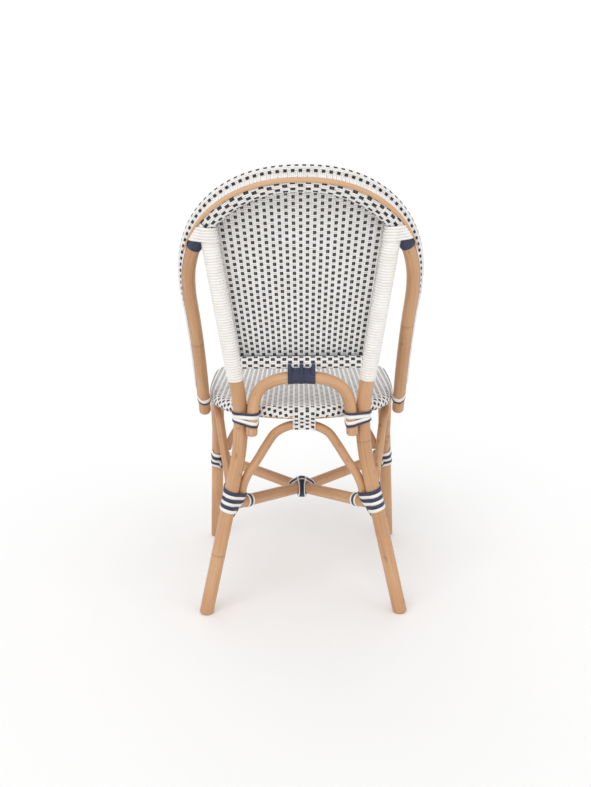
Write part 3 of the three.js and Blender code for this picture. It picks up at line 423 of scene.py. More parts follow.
def cane_material(name, *colours):
    """Lacquered rattan: streaks along the pole, patches, small marks and a dark line at each joint."""
    dark, middle, light, mark = (from_display(colour) for colour in colours)
    shader = new_shader(name)
    cane = shader.node("Attribute", "Vector", attribute_name="cane")

    def cane_noise(scale, detail):
        return shader.noise(shader.node("Mapping", "Vector", {"Vector": cane, "Scale": scale}), detail=detail)

    streaks = cane_noise(STREAK_SCALE, 4)
    patches = cane_noise(PATCH_SCALE, 2)
    fine = cane_noise(GRAIN_SCALE, 2)
    spots = cane_noise(SPOT_SCALE, 1)
    grain = shader.ramp(streaks, STREAK_STOPS, dark, middle, light)
    broad = shader.ramp(patches, PATCH_STOPS, dark, middle, light)
    spot_share = shader.ramp(spots, SPOT_STOPS, *((share, share, share, 1) for share in (0, SPOT_SHARE)))
    spotted = shader.mix(spot_share, shader.mix(PATCH_SHARE, grain, broad), mark)
    joint = shader.node("Attribute", "Fac", attribute_name="joint")
    return shader.finish({
        "Base Color": shader.mix(joint, spotted, mark),
        "Roughness": shader.scaled(fine, *GRAIN_ROUGHNESS),
        "Coat Weight": COAT_WEIGHT,
        "Coat Roughness": COAT_ROUGHNESS,
        "Normal": shader.bump(fine, *GRAIN_BUMP),
    })


def cord_material(name, low, high, roughness):
    """Flat plastic cord with fine threads along it and slight changes of shade from place to place."""
    low, high = from_display(low), from_display(high)
    shader = new_shader(name)
    place = shader.place()
    fine = shader.noise(place, scale=THREAD_SCALE, detail=2)
    shade = shader.ramp(shader.noise(place, scale=SHADE_SCALE), SOFT_STOPS, low, high)
    return shader.finish({
        "Base Color": shader.mix(shader.scaled(fine, 0.0, THREAD_SHARE), shade, low),
        "Roughness": shader.scaled(fine, roughness - THREAD_SMOOTHER, roughness + THREAD_ROUGHER),
        "Normal": shader.bump(fine, *THREAD_BUMP),
    })


def metal_material(name, low, high):
    """Bare steel with fine scratches."""
    shader = new_shader(name)
    scratches = shader.noise(shader.place(), scale=SCRATCH_SCALE)
    return shader.finish({
        "Base Color": shader.ramp(scratches, SOFT_STOPS, from_display(low), from_display(high)),
        "Roughness": shader.scaled(scratches, *SCRATCH_ROUGHNESS),
        "Metallic": 1.0,
    })


RATTAN = cane_material("rattan", (174, 126, 86), (199, 152, 111), (217, 174, 133), (120, 82, 58))
PALE_RATTAN = cane_material("pale_rattan", (190, 147, 106), (209, 167, 126), (223, 185, 146), (150, 106, 72))
WHITE_CORD = cord_material("white_cord", (240, 237, 234), (250, 248, 246), 0.42)
BLACK_CORD = cord_material("black_cord", (24, 26, 32), (40, 42, 49), 0.45)
CREAM_CORD = cord_material("cream_cord", (240, 235, 229), (250, 247, 243), 0.42)
NAVY_CORD = cord_material("navy_cord", (38, 45, 70), (54, 61, 86), 0.45)
STEEL = metal_material("screw_steel", (150, 150, 148), (178, 178, 176))
DOWEL_WOOD = cord_material("dowel_wood", (190, 160, 120), (210, 184, 148), 0.6)
BINDING = {"navy": NAVY_CORD, "white": CREAM_CORD}


# Meshes

def piece(node, word, verts, faces, material, slot, attributes=None):
    """A shown piece of the chair. It stands for its CAD node and rides with the frame.

    The shapes are built for the left side, and a node on the right gets the mirror image."""
    if node.endswith("_right"):
        verts, faces = verts * MIRROR, [face[::-1] for face in faces]
    name = f"{node}_{word}"
    mesh = bpy.data.meshes.new(name)
    mesh.from_pydata(verts.tolist(), [], [list(face) for face in faces])
    mesh.polygons.foreach_set("use_smooth", [True] * len(mesh.polygons))
    for key, values in (attributes or {}).items():
        kind, field = ("FLOAT_VECTOR", "vector") if values.ndim == 2 else ("FLOAT", "value")
        mesh.attributes.new(key, kind, "POINT").data.foreach_set(field, values.astype(np.float32).ravel())
    mesh.materials.append(material)
    mesh.update()
    made = bpy.data.objects.new(name, mesh)
    bpy.context.scene.collection.objects.link(made)
    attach(made, "root")
    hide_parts(node)


def both_sides(node, build, *details, **named):
    """Builds the left piece and its mirror image."""
    for side in ("left", "right"):
        build(f"{node}_{side}", *details, **named)


def transported(tangents, start):
    """Directions across a curve that turn with it and no more."""
    sides = [unit(start - tangents[0] * np.dot(start, tangents[0]))]
    for tangent in tangents[1:]:
        sides.append(unit(sides[-1] - tangent * np.dot(sides[-1], tangent)))
    return np.array(sides)


def ring_faces(count, sides, closed=False):
    """Faces between rings of vertices, with a cap at each open end."""
    faces = []
    for i in range(count - 1 + closed):
        here, there = i * sides, (i + 1) % count * sides
        for k in range(sides):
            after = (k + 1) % sides
            faces.append((here + k, here + after, there + after, there + k))
    if not closed:
        faces.append(tuple(range(sides))[::-1])
        faces.append(tuple(range((count - 1) * sides, count * sides)))
    return faces


STEEP = 0.9


def tube(curve, stations, radii, sides):
    """Rings of vertices round a curve, and where each vertex lies in the cane."""
    tangents = curve.along(stations)
    start = UP if abs(tangents[0][2]) < STEEP else BACKWARDS
    across = transported(tangents, np.cross(tangents[0], start))
    over = np.cross(tangents, across)
    angles = np.linspace(0, 2 * math.pi, sides, endpoint=False)
    radii = np.broadcast_to(radii[:, None], (len(stations), sides))
    out = across[:, None] * np.cos(angles)[None, :, None] + over[:, None] * np.sin(angles)[None, :, None]
    verts = curve.at(stations)[:, None] + out * radii[..., None]
    along = np.broadcast_to(stations[:, None], radii.shape)
    cane = np.stack([np.cos(angles) * radii, np.sin(angles) * radii, along], -1)
    return verts.reshape(-1, 3), cane.reshape(-1, 3)


STATION_GAP = 0.004
WAVE_OFFSET = 2.1
JOINT_STATIONS = np.linspace(-0.006, 0.006, 13)
JOINT_WIDTH = 0.0026
JOINT_SWELL = 0.0004
JOINT_MARK = 0.45
END_SHARES = np.array([0.02, 0.12, 0.3, 0.55, 0.8])
# A share of the radius, and radians per metre of the pole
LONG_WAVE = (0.006, 31)
SHORT_WAVE = (0.004, 83)
CANE_SHIFT = np.array([0.37, 0.37, 1.7])
POLE_ROUNDING = (0.004, 0.004)
POLE_SIDES = 28


def cane_pole(node, curve, radius, seed, joints=(), end=None, rounding=POLE_ROUNDING, sides=POLE_SIDES,
              closed=False):
    """A rattan pole with rounded ends, slight waves in its thickness, and the joints of the cane."""
    end = curve.length if end is None else end
    stations = np.concatenate([
        np.arange(0, end, STATION_GAP), [end], *(joint + JOINT_STATIONS for joint in joints),
        rounding[0] * END_SHARES, end - rounding[1] * END_SHARES])
    stations = np.unique(np.round(stations[stations <= end], 6))
    stations = stations[:-1] if closed else stations
    long_wave = LONG_WAVE[0] * np.sin(stations * LONG_WAVE[1] + seed)
    short_wave = SHORT_WAVE[0] * np.sin(stations * SHORT_WAVE[1] + WAVE_OFFSET * seed)
    radii = radius * np.minimum(1 + long_wave + short_wave, 1.0)
    mark = np.zeros(len(stations))
    for joint in joints:
        swell = np.exp(-((stations - joint) / JOINT_WIDTH) ** 2)
        groove = np.exp(-((stations - joint) / (JOINT_WIDTH / 2)) ** 2)
        radii += JOINT_SWELL * (swell - groove)
        mark = np.maximum(mark, JOINT_MARK * groove)
    if not closed:
        for gap, reach in ((stations, rounding[0]), (end - stations, rounding[1])):
            radii -= reach * (1 - np.sqrt(1 - (1 - np.clip(gap / reach, 0, 1)) ** 2))
    verts, cane = tube(curve, stations, radii, sides)
    verts[:, 2] = np.maximum(verts[:, 2], 0)
    piece(node, "cane", verts, ring_faces(len(stations), sides, closed), RATTAN, "rattan",
          {"cane": cane + seed * CANE_SHIFT, "joint": np.repeat(mark, sides)})


LASH_THICK = 0.0013
WOUND_SHARE = 0.985
WINDING_POINTS = 36
WINDING_GAP = 0.0003
TUCK_SHARE = 0.7


class Strands:
    """Flat cords collected into one mesh."""

    def __init__(self):
        self.verts = []
        self.faces = []
        self.count = 0

    def add(self, centres, sides, normals, width, thick):
        """One cord with a flat section, shaded smooth and closed at both ends."""
        if len(centres) < 2:
            return
        sides = unit(np.broadcast_to(sides, centres.shape))
        normals = unit(normals - sides * np.sum(sides * normals, -1, keepdims=True))
        half = sides * np.broadcast_to(width, len(centres))[:, None] / 2
        rise = normals * thick / 2
        rings = np.stack([centres - half - rise, centres + half - rise,
                          centres + half + rise, centres - half + rise], 1)
        section = rings.shape[1]
        middle = len(centres) // 2
        tangent = centres[middle] - centres[middle - 1]
        forward = np.dot(np.cross(sides[middle], normals[middle]), tangent) > 0
        index = np.arange(len(centres) * section).reshape(-1, section) + self.count
        index = index if forward else index[:, ::-1]
        here, there = index[:-1], index[1:]
        for k in range(section):
            after = (k + 1) % section
            self.faces.append(np.stack([here[:, k], here[:, after], there[:, after], there[:, k]], -1))
        self.faces.append(np.array([index[0][::-1], index[-1]]))
        self.verts.append(rings.reshape(-1, 3))
        self.count += index.size

    def piece(self, node, word, material, slot):
        piece(node, word, np.vstack(self.verts), np.vstack(self.faces).tolist(), material, slot)


def winding(node, curve, start, end, radius, pitch, material, slot):
    """One flat cord wound round a pole, turn beside turn, with its ends tucked in."""
    count = int((end - start) / pitch * WINDING_POINTS)
    places = np.linspace(start, end, count + 1)
    tangents = curve.along(places)
    across = transported(tangents, np.cross(tangents[0], BACKWARDS))
    over = np.cross(tangents, across)
    angles = -2 * math.pi * (places - start)[:, None] / pitch
    out = across * np.cos(angles) + over * np.sin(angles)
    from_end = np.minimum(places - start, end - places)
    tuck = np.clip(1 - from_end / pitch, 0, 1) ** 2 * LASH_THICK * TUCK_SHARE
    reach = radius + WINDING_GAP + LASH_THICK / 2 - tuck
    strands = Strands()
    strands.add(curve.at(places) + out * reach[:, None], tangents, out, pitch * WOUND_SHARE, LASH_THICK)
    strands.piece(node, "turns", material, slot)


# Weave

CORD_THICK = 0.0009
CORD_LIFT = 0.0005
GAP_SHARE = 0.06
CELL_END_SHARE = 0.16
SURFACE_STEP = 0.0008


def cell_stations(edges, overs):
    """Where a cord that passes over or under each cell has its points, and how far it stands out there."""
    ends = CELL_END_SHARE * np.diff(edges)
    places = np.stack([edges[:-1] + ends, edges[1:] - ends], -1).ravel()
    return places, np.repeat(np.where(overs, CORD_LIFT, -CORD_LIFT), 2)


def surface_frame(surface, u, v):
    """Points of a surface with its two directions and its normal."""
    along_u = surface(u + SURFACE_STEP, v) - surface(u - SURFACE_STEP, v)
    along_v = surface(u, v + SURFACE_STEP) - surface(u, v - SURFACE_STEP)
    return surface(u, v), unit(along_u), unit(along_v), unit(np.cross(along_u, along_v))


def weave(node, surface, columns, rows, pitch, row_pitch, black_share, period=2,
          inside=None, width_of=None, black_gain=None):
    """Pairs of black and white cords that run along v, crossed by pairs of white cords along u.

    A column of black and white passes over one pair of rows out of each period, and its neighbour
    over the one half a period later. inside says which points of the surface hold cord, width_of how
    wide the columns are there, and black_gain how much wider the black cords are."""
    black, white = Strands(), Strands()
    row_numbers, row_edges = np.arange(*rows), np.arange(rows[0], rows[1] + 1) * row_pitch
    column_numbers = np.arange(*columns)
    column_edges = (np.arange(columns[0], columns[1] + 1) - black_share / 2) * pitch

    def over(column, row):
        return np.mod(row + np.mod(column, 2) * (period // 2), period) == 0

    def lay(strands, u, v, lifts, along_columns, width):
        u, v, width = np.broadcast_arrays(np.asarray(u, float), v, width)
        point, along_u, along_v, normal = surface_frame(surface, u, v)
        shown = np.ones(len(u), bool) if inside is None else inside(u, v)
        centres = point + normal * lifts[:, None]
        width = width if width_of is None else width * width_of(u, v)
        side = along_u if along_columns else along_v
        ends = np.flatnonzero(np.diff(np.concatenate([[False], shown, [False]]).astype(int)))
        for start, end in zip(ends[::2], ends[1::2]):
            run = slice(start, end)
            strands.add(centres[run], side[run], normal[run], width[run], CORD_THICK)

    black_width = pitch * black_share
    for column in column_numbers:
        v, lifts = cell_stations(row_edges, over(column, row_numbers))
        black_full = black_width * (np.ones(len(v)) if black_gain is None else black_gain(v))
        lines = [(black, column * pitch, black_full)]
        if pitch - black_width >= CORD_THICK:
            lines.append((white, (column + 0.5) * pitch, pitch - black_full))
        for strands, middle, full in lines:
            for side in (-1, 1):
                lay(strands, middle + side * full / 4, v, lifts, True, full / 2 - pitch * GAP_SHARE / 2)
    for row in row_numbers:
        u, lifts = cell_stations(column_edges, ~over(column_numbers, row))
        for side in (-1, 1):
            v = (row + 0.5 + side / 4) * row_pitch
            lay(white, u, v, lifts, False, row_pitch * (0.5 - GAP_SHARE))
    black.piece(node, "black", BLACK_CORD, "woven_cord")
    white.piece(node, "white", WHITE_CORD, "woven_cord")


# The back panel: columns fan out upwards, and rows lie level

PANEL_FOOT_HALF = 0.126
PANEL_TOP_HALF = 0.163
PANEL_TOP_FORWARD = 0.020
PANEL_CORNER_FORWARD = 0.0047
PANEL_TOP_HEIGHT = 0.860
PANEL_RIM_REACH = 0.0134
PANEL_RAIL_REACH = 0.0143
PANEL_EDGE_SHARE = 1.04
PANEL_COLUMNS = 12
PANEL_PITCH = 0.0133
PANEL_ROW_PITCH = 0.00565
PANEL_BLACK_SHARE = 0.45
PANEL_FOOT_GAIN = 0.35
PANEL_GAIN_HEIGHT = 0.3


def panel_ends(across):
    """The foot and the top of the panel's upright lines. across is -1 to 1."""
    x = PANEL_TOP_HALF * across
    power = RIM["squareness"]
    crown_share = (1 - np.abs(x / (RIM["half"] - PANEL_RIM_REACH)) ** power) ** (1 / power)
    rise = RIM["belly_rise"] + (RIM["top_rise"] - PANEL_RIM_REACH - RIM["belly_rise"]) * crown_share
    top = back_point(x, rise, PANEL_TOP_FORWARD + PANEL_CORNER_FORWARD * across ** 2)
    foot = np.stack(np.broadcast_arrays(PANEL_FOOT_HALF * across, RAIL_Y, RAIL_HEIGHT), -1)
    lean = np.arctan2(top[..., 1] - foot[..., 1] + PANEL_RAIL_REACH, top[..., 2] - foot[..., 2])
    foot[..., 1] -= PANEL_RAIL_REACH / np.cos(lean)
    return foot, top


def panel_surface(u, v):
    """u runs across the top, and v is the height over the rail."""
    foot, top = panel_ends(u / PANEL_TOP_HALF)
    share = v / (top[..., 2] - foot[..., 2])
    return foot + (top - foot) * share[..., None] + SHIFT


def panel_inside(u, v):
    across = u / PANEL_TOP_HALF
    _, top = panel_ends(np.clip(across, -1, 1))
    return (np.abs(across) <= PANEL_EDGE_SHARE) & (v <= top[..., 2] - RAIL_HEIGHT)


def panel_width(u, v):
    """How wide the columns are at a height, as a share of their width at the top."""
    foot, top = panel_ends(np.clip(u / PANEL_TOP_HALF, -1, 1))
    share = np.clip(v / (top[..., 2] - foot[..., 2]), 0, 1)
    return (PANEL_FOOT_HALF + (PANEL_TOP_HALF - PANEL_FOOT_HALF) * share) / PANEL_TOP_HALF


def back_panel():
    rows = int((PANEL_TOP_HEIGHT - RAIL_HEIGHT) / PANEL_ROW_PITCH)
    weave("back_panel", panel_surface, (-PANEL_COLUMNS, PANEL_COLUMNS + 1), (0, rows),
          PANEL_PITCH, PANEL_ROW_PITCH, PANEL_BLACK_SHARE, inside=panel_inside, width_of=panel_width,
          black_gain=lambda v: 1 + PANEL_FOOT_GAIN * np.clip(1 - v / PANEL_GAIN_HEIGHT, 0, 1))


# The seat: columns run from front to back, and the cloth rolls over the ring and ends under it

SEAT_PITCH = 0.0107
SEAT_ROW_PITCH = 0.006
SEAT_BLACK_SHARE = 0.6
SEAT_SKIN = SEAT_REACH - 0.0017
SEAT_ROLL_END = math.radians(125)
SEAT_HEM = 0.035
RING_POINTS = 4000


class SeatCloth:
    """Flat cloth laid over the ring: what passes the ring's line turns down round it."""

    def __init__(self):
        places = np.linspace(0, ring.length, RING_POINTS, endpoint=False)
        self.points = ring.at(places)
        self.out = np.cross(ring.along(places), UP)
        if np.dot(self.out[0], BACKWARDS) < 0:
            self.out = -self.out
        self.tree = KDTree(RING_POINTS)
        for i, (x, y, z) in enumerate(self.points):
            self.tree.insert((x, y, 0), i)
        self.tree.balance()

    def nearest(self, x, y):
        """The ring's nearest point, the way out there, and how far out the place is."""
        index = np.array([self.tree.find((a, b, 0))[1] for a, b in zip(x, y)])
        point, out = self.points[index], self.out[index]
        return point, out, (x - point[:, 0]) * out[:, 0] + (y - point[:, 1]) * out[:, 1]

    def surface(self, u, v):
        x, y = u, v + SHIFT[1]
        point, out, beyond = self.nearest(x, y)
        angle = (np.maximum(beyond, 0) / SEAT_SKIN)[:, None]
        rolled = point + (out * np.sin(angle) + UP * np.cos(angle)) * SEAT_SKIN
        flat = np.stack([x, y, np.full_like(x, RING_HEIGHT + SEAT_SKIN)], -1)
        return np.where((beyond > 0)[:, None], rolled, flat)

    def inside(self, u, v):
        _, _, beyond = self.nearest(u, v + SHIFT[1])
        return beyond < SEAT_ROLL_END * SEAT_SKIN


def seat():
    cloth = SeatCloth()
    columns = int((SEAT_HALF + SEAT_HEM) / SEAT_PITCH)
    rows = (int((SEAT_FRONT_Y - SEAT_HEM) / SEAT_ROW_PITCH), int((SEAT_REAR_Y + SEAT_HEM) / SEAT_ROW_PITCH))
    weave("seat_weave", cloth.surface, (-columns, columns + 1), rows,
          SEAT_PITCH, SEAT_ROW_PITCH, SEAT_BLACK_SHARE, inside=cloth.inside)


# The batten along the hoop

TRIM_HALF = 0.0046
TRIM_RISE = 0.004
TRIM_SEAT = 0.0165
TRIM_SKIRT = 0.0012
TRIM_SKIRT_SHARE = 0.9
TRIM_END_SHARE = 0.303
TRIM_TOP_TURN = math.radians(45)
TRIM_END_TURN = math.radians(84)
TRIM_TURN_POWER = 1.35
TRIM_ROUNDNESS = 0.7
TRIM_TIP_SHARE = 0.2
TRIM_TIP_GROWTH = 2.5
TRIM_STEPS = 150
TRIM_ARCH_POINTS = 13
TRIM_CANE_REACH = 0.006


def trim_frame(place, from_end):
    """The middle of the hoop, the way out to the batten, the way across it, and how full it is."""
    outside = unit(np.cross(BACK, hoop.along(place)))
    turn = TRIM_TOP_TURN + (TRIM_END_TURN - TRIM_TOP_TURN) * (1 - from_end) ** TRIM_TURN_POWER
    out = BACK * math.cos(turn) + outside * math.sin(turn)
    beside = outside * math.cos(turn) - BACK * math.sin(turn)
    return hoop.at(place), out, beside, min(1, TRIM_TIP_SHARE + TRIM_TIP_GROWTH * from_end)


def trim_section(place, from_end):
    """A low arch with a short skirt that reaches down beside the weave."""
    centre, out, beside, full = trim_frame(place, from_end)
    half = TRIM_HALF * full
    angles = np.linspace(0, math.pi, TRIM_ARCH_POINTS)
    arch = np.stack([half * np.cos(angles), TRIM_RISE * full * np.sin(angles) ** TRIM_ROUNDNESS], -1)
    skirt = [[side * half * TRIM_SKIRT_SHARE, -TRIM_SKIRT] for side in (-1, 1)]
    outline = np.vstack([arch, skirt])
    return centre + out * (TRIM_SEAT + outline[:, 1:]) + beside * outline[:, :1]


def hoop_trim():
    rings, cane = [], []
    for share in np.linspace(0, 1, TRIM_STEPS + 1):
        place = (TRIM_END_SHARE + (1 - 2 * TRIM_END_SHARE) * share) * hoop.length
        rings.append(trim_section(place, 1 - abs(2 * share - 1)))
        angles = np.linspace(0, 2 * math.pi, len(rings[0]), endpoint=False)
        around = np.stack([np.cos(angles), np.sin(angles)], -1) * TRIM_CANE_REACH
        cane.append(np.column_stack([around, np.full(len(angles), place)]))
    cane = np.vstack(cane)
    piece("hoop_trim", "batten", np.vstack(rings), ring_faces(len(rings), len(rings[0])), PALE_RATTAN,
          "pale_rattan", {"cane": cane, "joint": np.zeros(len(cane))})


# Sleeves of weave round a pole

RIM_SKIN = 0.0100
RIM_PITCH = 0.00655
RIM_BLACK_SHARE = 0.96
RIM_ROWS = 12
RIM_FIRST_ANGLE = math.radians(10)
LIP_PITCH = 0.0033
LIP_CORD_SHARE = 0.94
LIP_START_ANGLE = math.radians(12)
LIP_END_ANGLE = math.radians(75)
LIP_BULGE = 0.0006 * np.array([0, 0.2, 0.6, 1, 0.6, 0.2, 0])
LIP_FADE = 0.15
CREST_SKIN = 0.0142
CREST_PITCH = 0.0133
CREST_ROWS = 16
CREST_BLACK_SHARE = 0.67
RAIL_SKIN = 0.0114
RAIL_REACH = 0.122
RAIL_PITCH = 0.01095
RAIL_ROWS = 12
RAIL_BLACK_SHARE = 0.7
RAIL_FIRST_ANGLE = math.radians(-5)
SEAM_REACH = 0.0126
SEAM_ANGLE = math.radians(-96)
SEAM_WIDTH = 0.0018
SEAM_THICK = 0.0016


def sleeve_surface(curve, radius, back=BACK, first_angle=0.0, start=0.0):
    """u runs along the curve and v round it: angle 0 is the back, and a quarter turn on is the outside."""
    def surface(u, v):
        tangent = curve.along(u + start)
        outside = unit(np.cross(back, tangent))
        rear = unit(np.cross(tangent, outside))
        angle = (v / radius + first_angle)[..., None]
        return curve.at(u + start) + (rear * np.cos(angle) + outside * np.sin(angle)) * radius
    return surface


def sleeve(node, curve, radius, columns, rows, pitch, black_share, back=BACK, first_angle=0.0, period=2):
    """Weave right round a pole, whose columns count from its middle."""
    weave(node, sleeve_surface(curve, radius, back, first_angle, curve.length / 2), columns, (0, rows),
          pitch, 2 * math.pi * radius / rows, black_share, period)


def rim_weave():
    """Black cords run round the rim, and show as staggered squares between white cords along it."""
    columns = int(rim.length / 2 / RIM_PITCH)
    sleeve("rim_weave", rim, RIM_SKIN, (-columns, columns), RIM_ROWS, RIM_PITCH, RIM_BLACK_SHARE,
           first_angle=RIM_FIRST_ANGLE, period=4)


def lip_end(place):
    """Where the lip's cord ends: at the batten's outer edge, or on the hoop where there is no batten."""
    outside = unit(np.cross(BACK, hoop.along(place)))
    way = BACK * math.cos(LIP_END_ANGLE) + outside * math.sin(LIP_END_ANGLE)
    on_hoop = hoop.at(place) + way * (HOOP_RADIUS + CORD_THICK)
    share = (place / hoop.length - TRIM_END_SHARE) / (1 - 2 * TRIM_END_SHARE)
    from_end = 1 - abs(2 * share - 1)
    if from_end <= 0:
        return on_hoop
    centre, out, beside, full = trim_frame(place, from_end)
    on_batten = centre + out * (TRIM_SEAT + CORD_THICK) + beside * TRIM_HALF * full
    return on_hoop + (on_batten - on_hoop) * smoothstep(from_end, 0, LIP_FADE)


def rim_lip():
    """Turns of plain white cord that lead from the rim's pattern over to the batten."""
    lip = Strands()
    surface = sleeve_surface(rim, RIM_SKIN, first_angle=LIP_START_ANGLE)
    steps = np.linspace(0, 1, len(LIP_BULGE))[:, None]
    for place in np.arange(LIP_PITCH, rim.length - LIP_PITCH, LIP_PITCH):
        start = surface(np.array([place]), np.zeros(1))[0]
        nearest = np.argmin(np.linalg.norm(hoop.points - rim.at(place), axis=1))
        end = lip_end(hoop.reach[nearest])
        along = rim.along(place)
        normal = unit(np.cross(along, end - start))
        if np.dot(normal, rim.at(place) - hoop.points[nearest]) < 0:
            normal = -normal
        centres = start + (end - start) * steps + normal * LIP_BULGE[:, None]
        lip.add(centres, along, normal, LIP_PITCH * LIP_CORD_SHARE, CORD_THICK)
    lip.piece("rim_weave", "lip", WHITE_CORD, "woven_cord")


def crest_weave():
    columns = int((0.5 - CREST_SHARE) * hoop.length / CREST_PITCH) + 1
    sleeve("crest_weave", hoop, CREST_SKIN, (-columns, columns + 1), CREST_ROWS, CREST_PITCH,
           CREST_BLACK_SHARE)


def rail_weave():
    """The sleeve of the bottom rail, and a thin black cord laid along its top, where the panel meets it."""
    curve = rail_curve(RAIL_REACH)
    columns = int(RAIL_REACH / RAIL_PITCH)
    sleeve("bottom_rail_weave", curve, RAIL_SKIN, (-columns, columns + 1), RAIL_ROWS, RAIL_PITCH,
           RAIL_BLACK_SHARE, BACKWARDS, RAIL_FIRST_ANGLE)
    seam = Strands()
    out = np.array([0.0, math.cos(SEAM_ANGLE), -math.sin(SEAM_ANGLE)])
    seam.add(curve.points + out * SEAM_REACH, np.cross(out, SIDEWAYS), out, SEAM_WIDTH, SEAM_THICK)
    seam.piece("bottom_rail_weave", "seam", BLACK_CORD, "woven_cord")


# The flap of seat weave round the rear apron arch

FLAP_LEFT = -0.0182
FLAP_RIGHT = 0.0276
FLAP_BLACK_SHARE = 0.62
FLAP_ROW_PITCH = 0.0055
FLAP_RING_REACH = 0.0147
FLAP_RING_ANGLES = (40, 20, 0, -18)
FLAP_ARCH_REACH = 0.0107
FLAP_ARCH_ANGLES = (8, -20, -40, -60)


def flap_profile():
    """The cloth leaves the ring, comes down behind the rear arch and turns under it."""
    _, arch_y, arch_z = rear_apron.at(rear_apron.length / 2) - SHIFT
    points = []
    for y, z, reach, angles in ((SEAT_REAR_Y, RING_HEIGHT, FLAP_RING_REACH, FLAP_RING_ANGLES),
                                (arch_y, arch_z, FLAP_ARCH_REACH, FLAP_ARCH_ANGLES)):
        for angle in np.radians(angles):
            points.append((0, y + reach * math.cos(angle), z + reach * math.sin(angle)))
    return smooth_curve(points)


def rear_arch_flap():
    """The flap follows the arch's fall to both sides, more so the lower it hangs."""
    profile = flap_profile()

    def surface(u, v):
        _, y, z = profile.at(v).T
        arch_drop = rear_apron.at(rear_apron.length / 2 + u)[..., 2] - APRON_TOP
        low = np.clip((RING_HEIGHT - z) / (RING_HEIGHT - APRON_TOP), 0, 1)
        return np.stack([-u, y, z + arch_drop * low], -1)

    columns = round(FLAP_RIGHT / SEAT_PITCH)
    weave("rear_arch_weave", surface, (-columns, columns + 1), (0, int(profile.length / FLAP_ROW_PITCH)),
          SEAT_PITCH, FLAP_ROW_PITCH, FLAP_BLACK_SHARE,
          inside=lambda u, v: (u >= FLAP_LEFT) & (u <= FLAP_RIGHT))


# Lashings: flat cords wound tight round several poles at once

OUTLINE_POINTS = 240
OUTLINE_STEP_SHARE = 0.01
TURN_POINTS = 72
LASH_GAP = 0.0003
JOG_SHARE = 0.8
HIDDEN_SHARE = 0.75


def hull_outline(circles):
    """Points round the tight outline of circles (across, over, radius), and the distance to each one."""
    angles = np.linspace(0, 2 * math.pi, OUTLINE_POINTS, endpoint=False)
    normal = np.stack([np.cos(angles), np.sin(angles)], -1)
    chosen = np.argmax([normal @ circle[:2] + circle[2] for circle in circles], axis=0)
    picked = np.array(circles)[chosen]
    points = picked[:, :2] + normal * picked[:, 2:]
    points = np.vstack([points, points[:1]])
    steps = np.linalg.norm(np.diff(points, axis=0), axis=1)
    return points, np.concatenate([[0], np.cumsum(steps)])


def outline_at(circles, share):
    """The point at a share of the outline's length, and the way out of it."""
    points, reach = hull_outline(circles)
    place, step = share % 1 * reach[-1], reach[-1] * OUTLINE_STEP_SHARE
    behind, here, ahead = (point_at((place + way * step) % reach[-1], reach, points) for way in (-1, 0, 1))
    tangent = unit(ahead - behind)
    return here, np.array([tangent[1], -tangent[0]])


class View:
    """A frame to wind cords in: heights run along it, and the poles are circles across it."""

    def __init__(self, origin, along, sideways):
        self.origin = origin
        self.along = unit(along)
        self.over = unit(np.cross(self.along, sideways))
        self.across = np.cross(self.over, self.along)

    def height(self, points):
        return (points - self.origin) @ self.along

    def circle(self, curve, radius, height):
        """The circle in which a pole crosses the plane at a height."""
        measure, reach = self.height(curve.points), curve.reach
        if measure[-1] < measure[0]:
            measure, reach = measure[::-1], reach[::-1]
        place = np.interp(height, measure, reach)
        offset = curve.at(place) - self.origin
        slant = abs(np.dot(curve.along(place), self.along))
        return np.array([offset @ self.across, offset @ self.over, radius / slant])

    def wind(self, strands, circles_at, start, width, turns=1, climb=0.0, lift=None, from_share=0.0,
             jog=False, raised=0.0):
        """One unbroken cord round the outline of the circles, which climbs a little each turn.

        With jog it does so at the end of the turn. lift moves points of the cord up or down."""
        total = int(turns * TURN_POINTS)
        centres, outs = [], []
        for i in range(total + 1):
            level = start + climb * turns * i / total
            if jog:
                turn, part = divmod(i, TURN_POINTS)
                level = start + climb * (turn + smoothstep(part / TURN_POINTS, JOG_SHARE, 1.0))
            share = i / TURN_POINTS + from_share
            point, out = outline_at(circles_at(level), share)
            if lift is not None:
                level = level + lift(point, out, i / TURN_POINTS)
                point, out = outline_at(circles_at(level), share)
            point = point + out * (LASH_THICK / 2 + LASH_GAP + raised)
            centres.append(self.origin + self.across * point[0] + self.over * point[1] + self.along * level)
            outs.append(self.across * out[0] + self.over * out[1])
        strands.add(np.array(centres), self.along, np.array(outs), width, LASH_THICK)

    def bind(self, node, circles_at, stripes):
        """Winds each stripe (colour, height, width, manner), and makes one piece of each colour."""
        cords = {colour: Strands() for colour, *_ in stripes}
        for colour, level, width, manner in stripes:
            self.wind(cords[colour], circles_at, level, width, **manner)
        for colour, strands in cords.items():
            strands.piece(node, colour, BINDING[colour], "navy_binding")


LASHING_TILT = 0.17
LASHING_GUARD = 0.003
REAR_LASHING = dict(foot=0.220, top=0.2645, crossing=REAR_CROSSING, stripes=6, hidden_share=0.62)
FRONT_LASHING = dict(foot=0.192, top=0.230, crossing=FRONT_CROSSING, stripes=5, hidden_share=0.87)
ARM_FADE_START = 0.014
ARM_FADE_LENGTH = 0.030
ARM_FADE_MOST = 0.93
FACING_LOW = 0.74
FACING_HIGH = 0.97
NAVY_RAISE = 0.0004


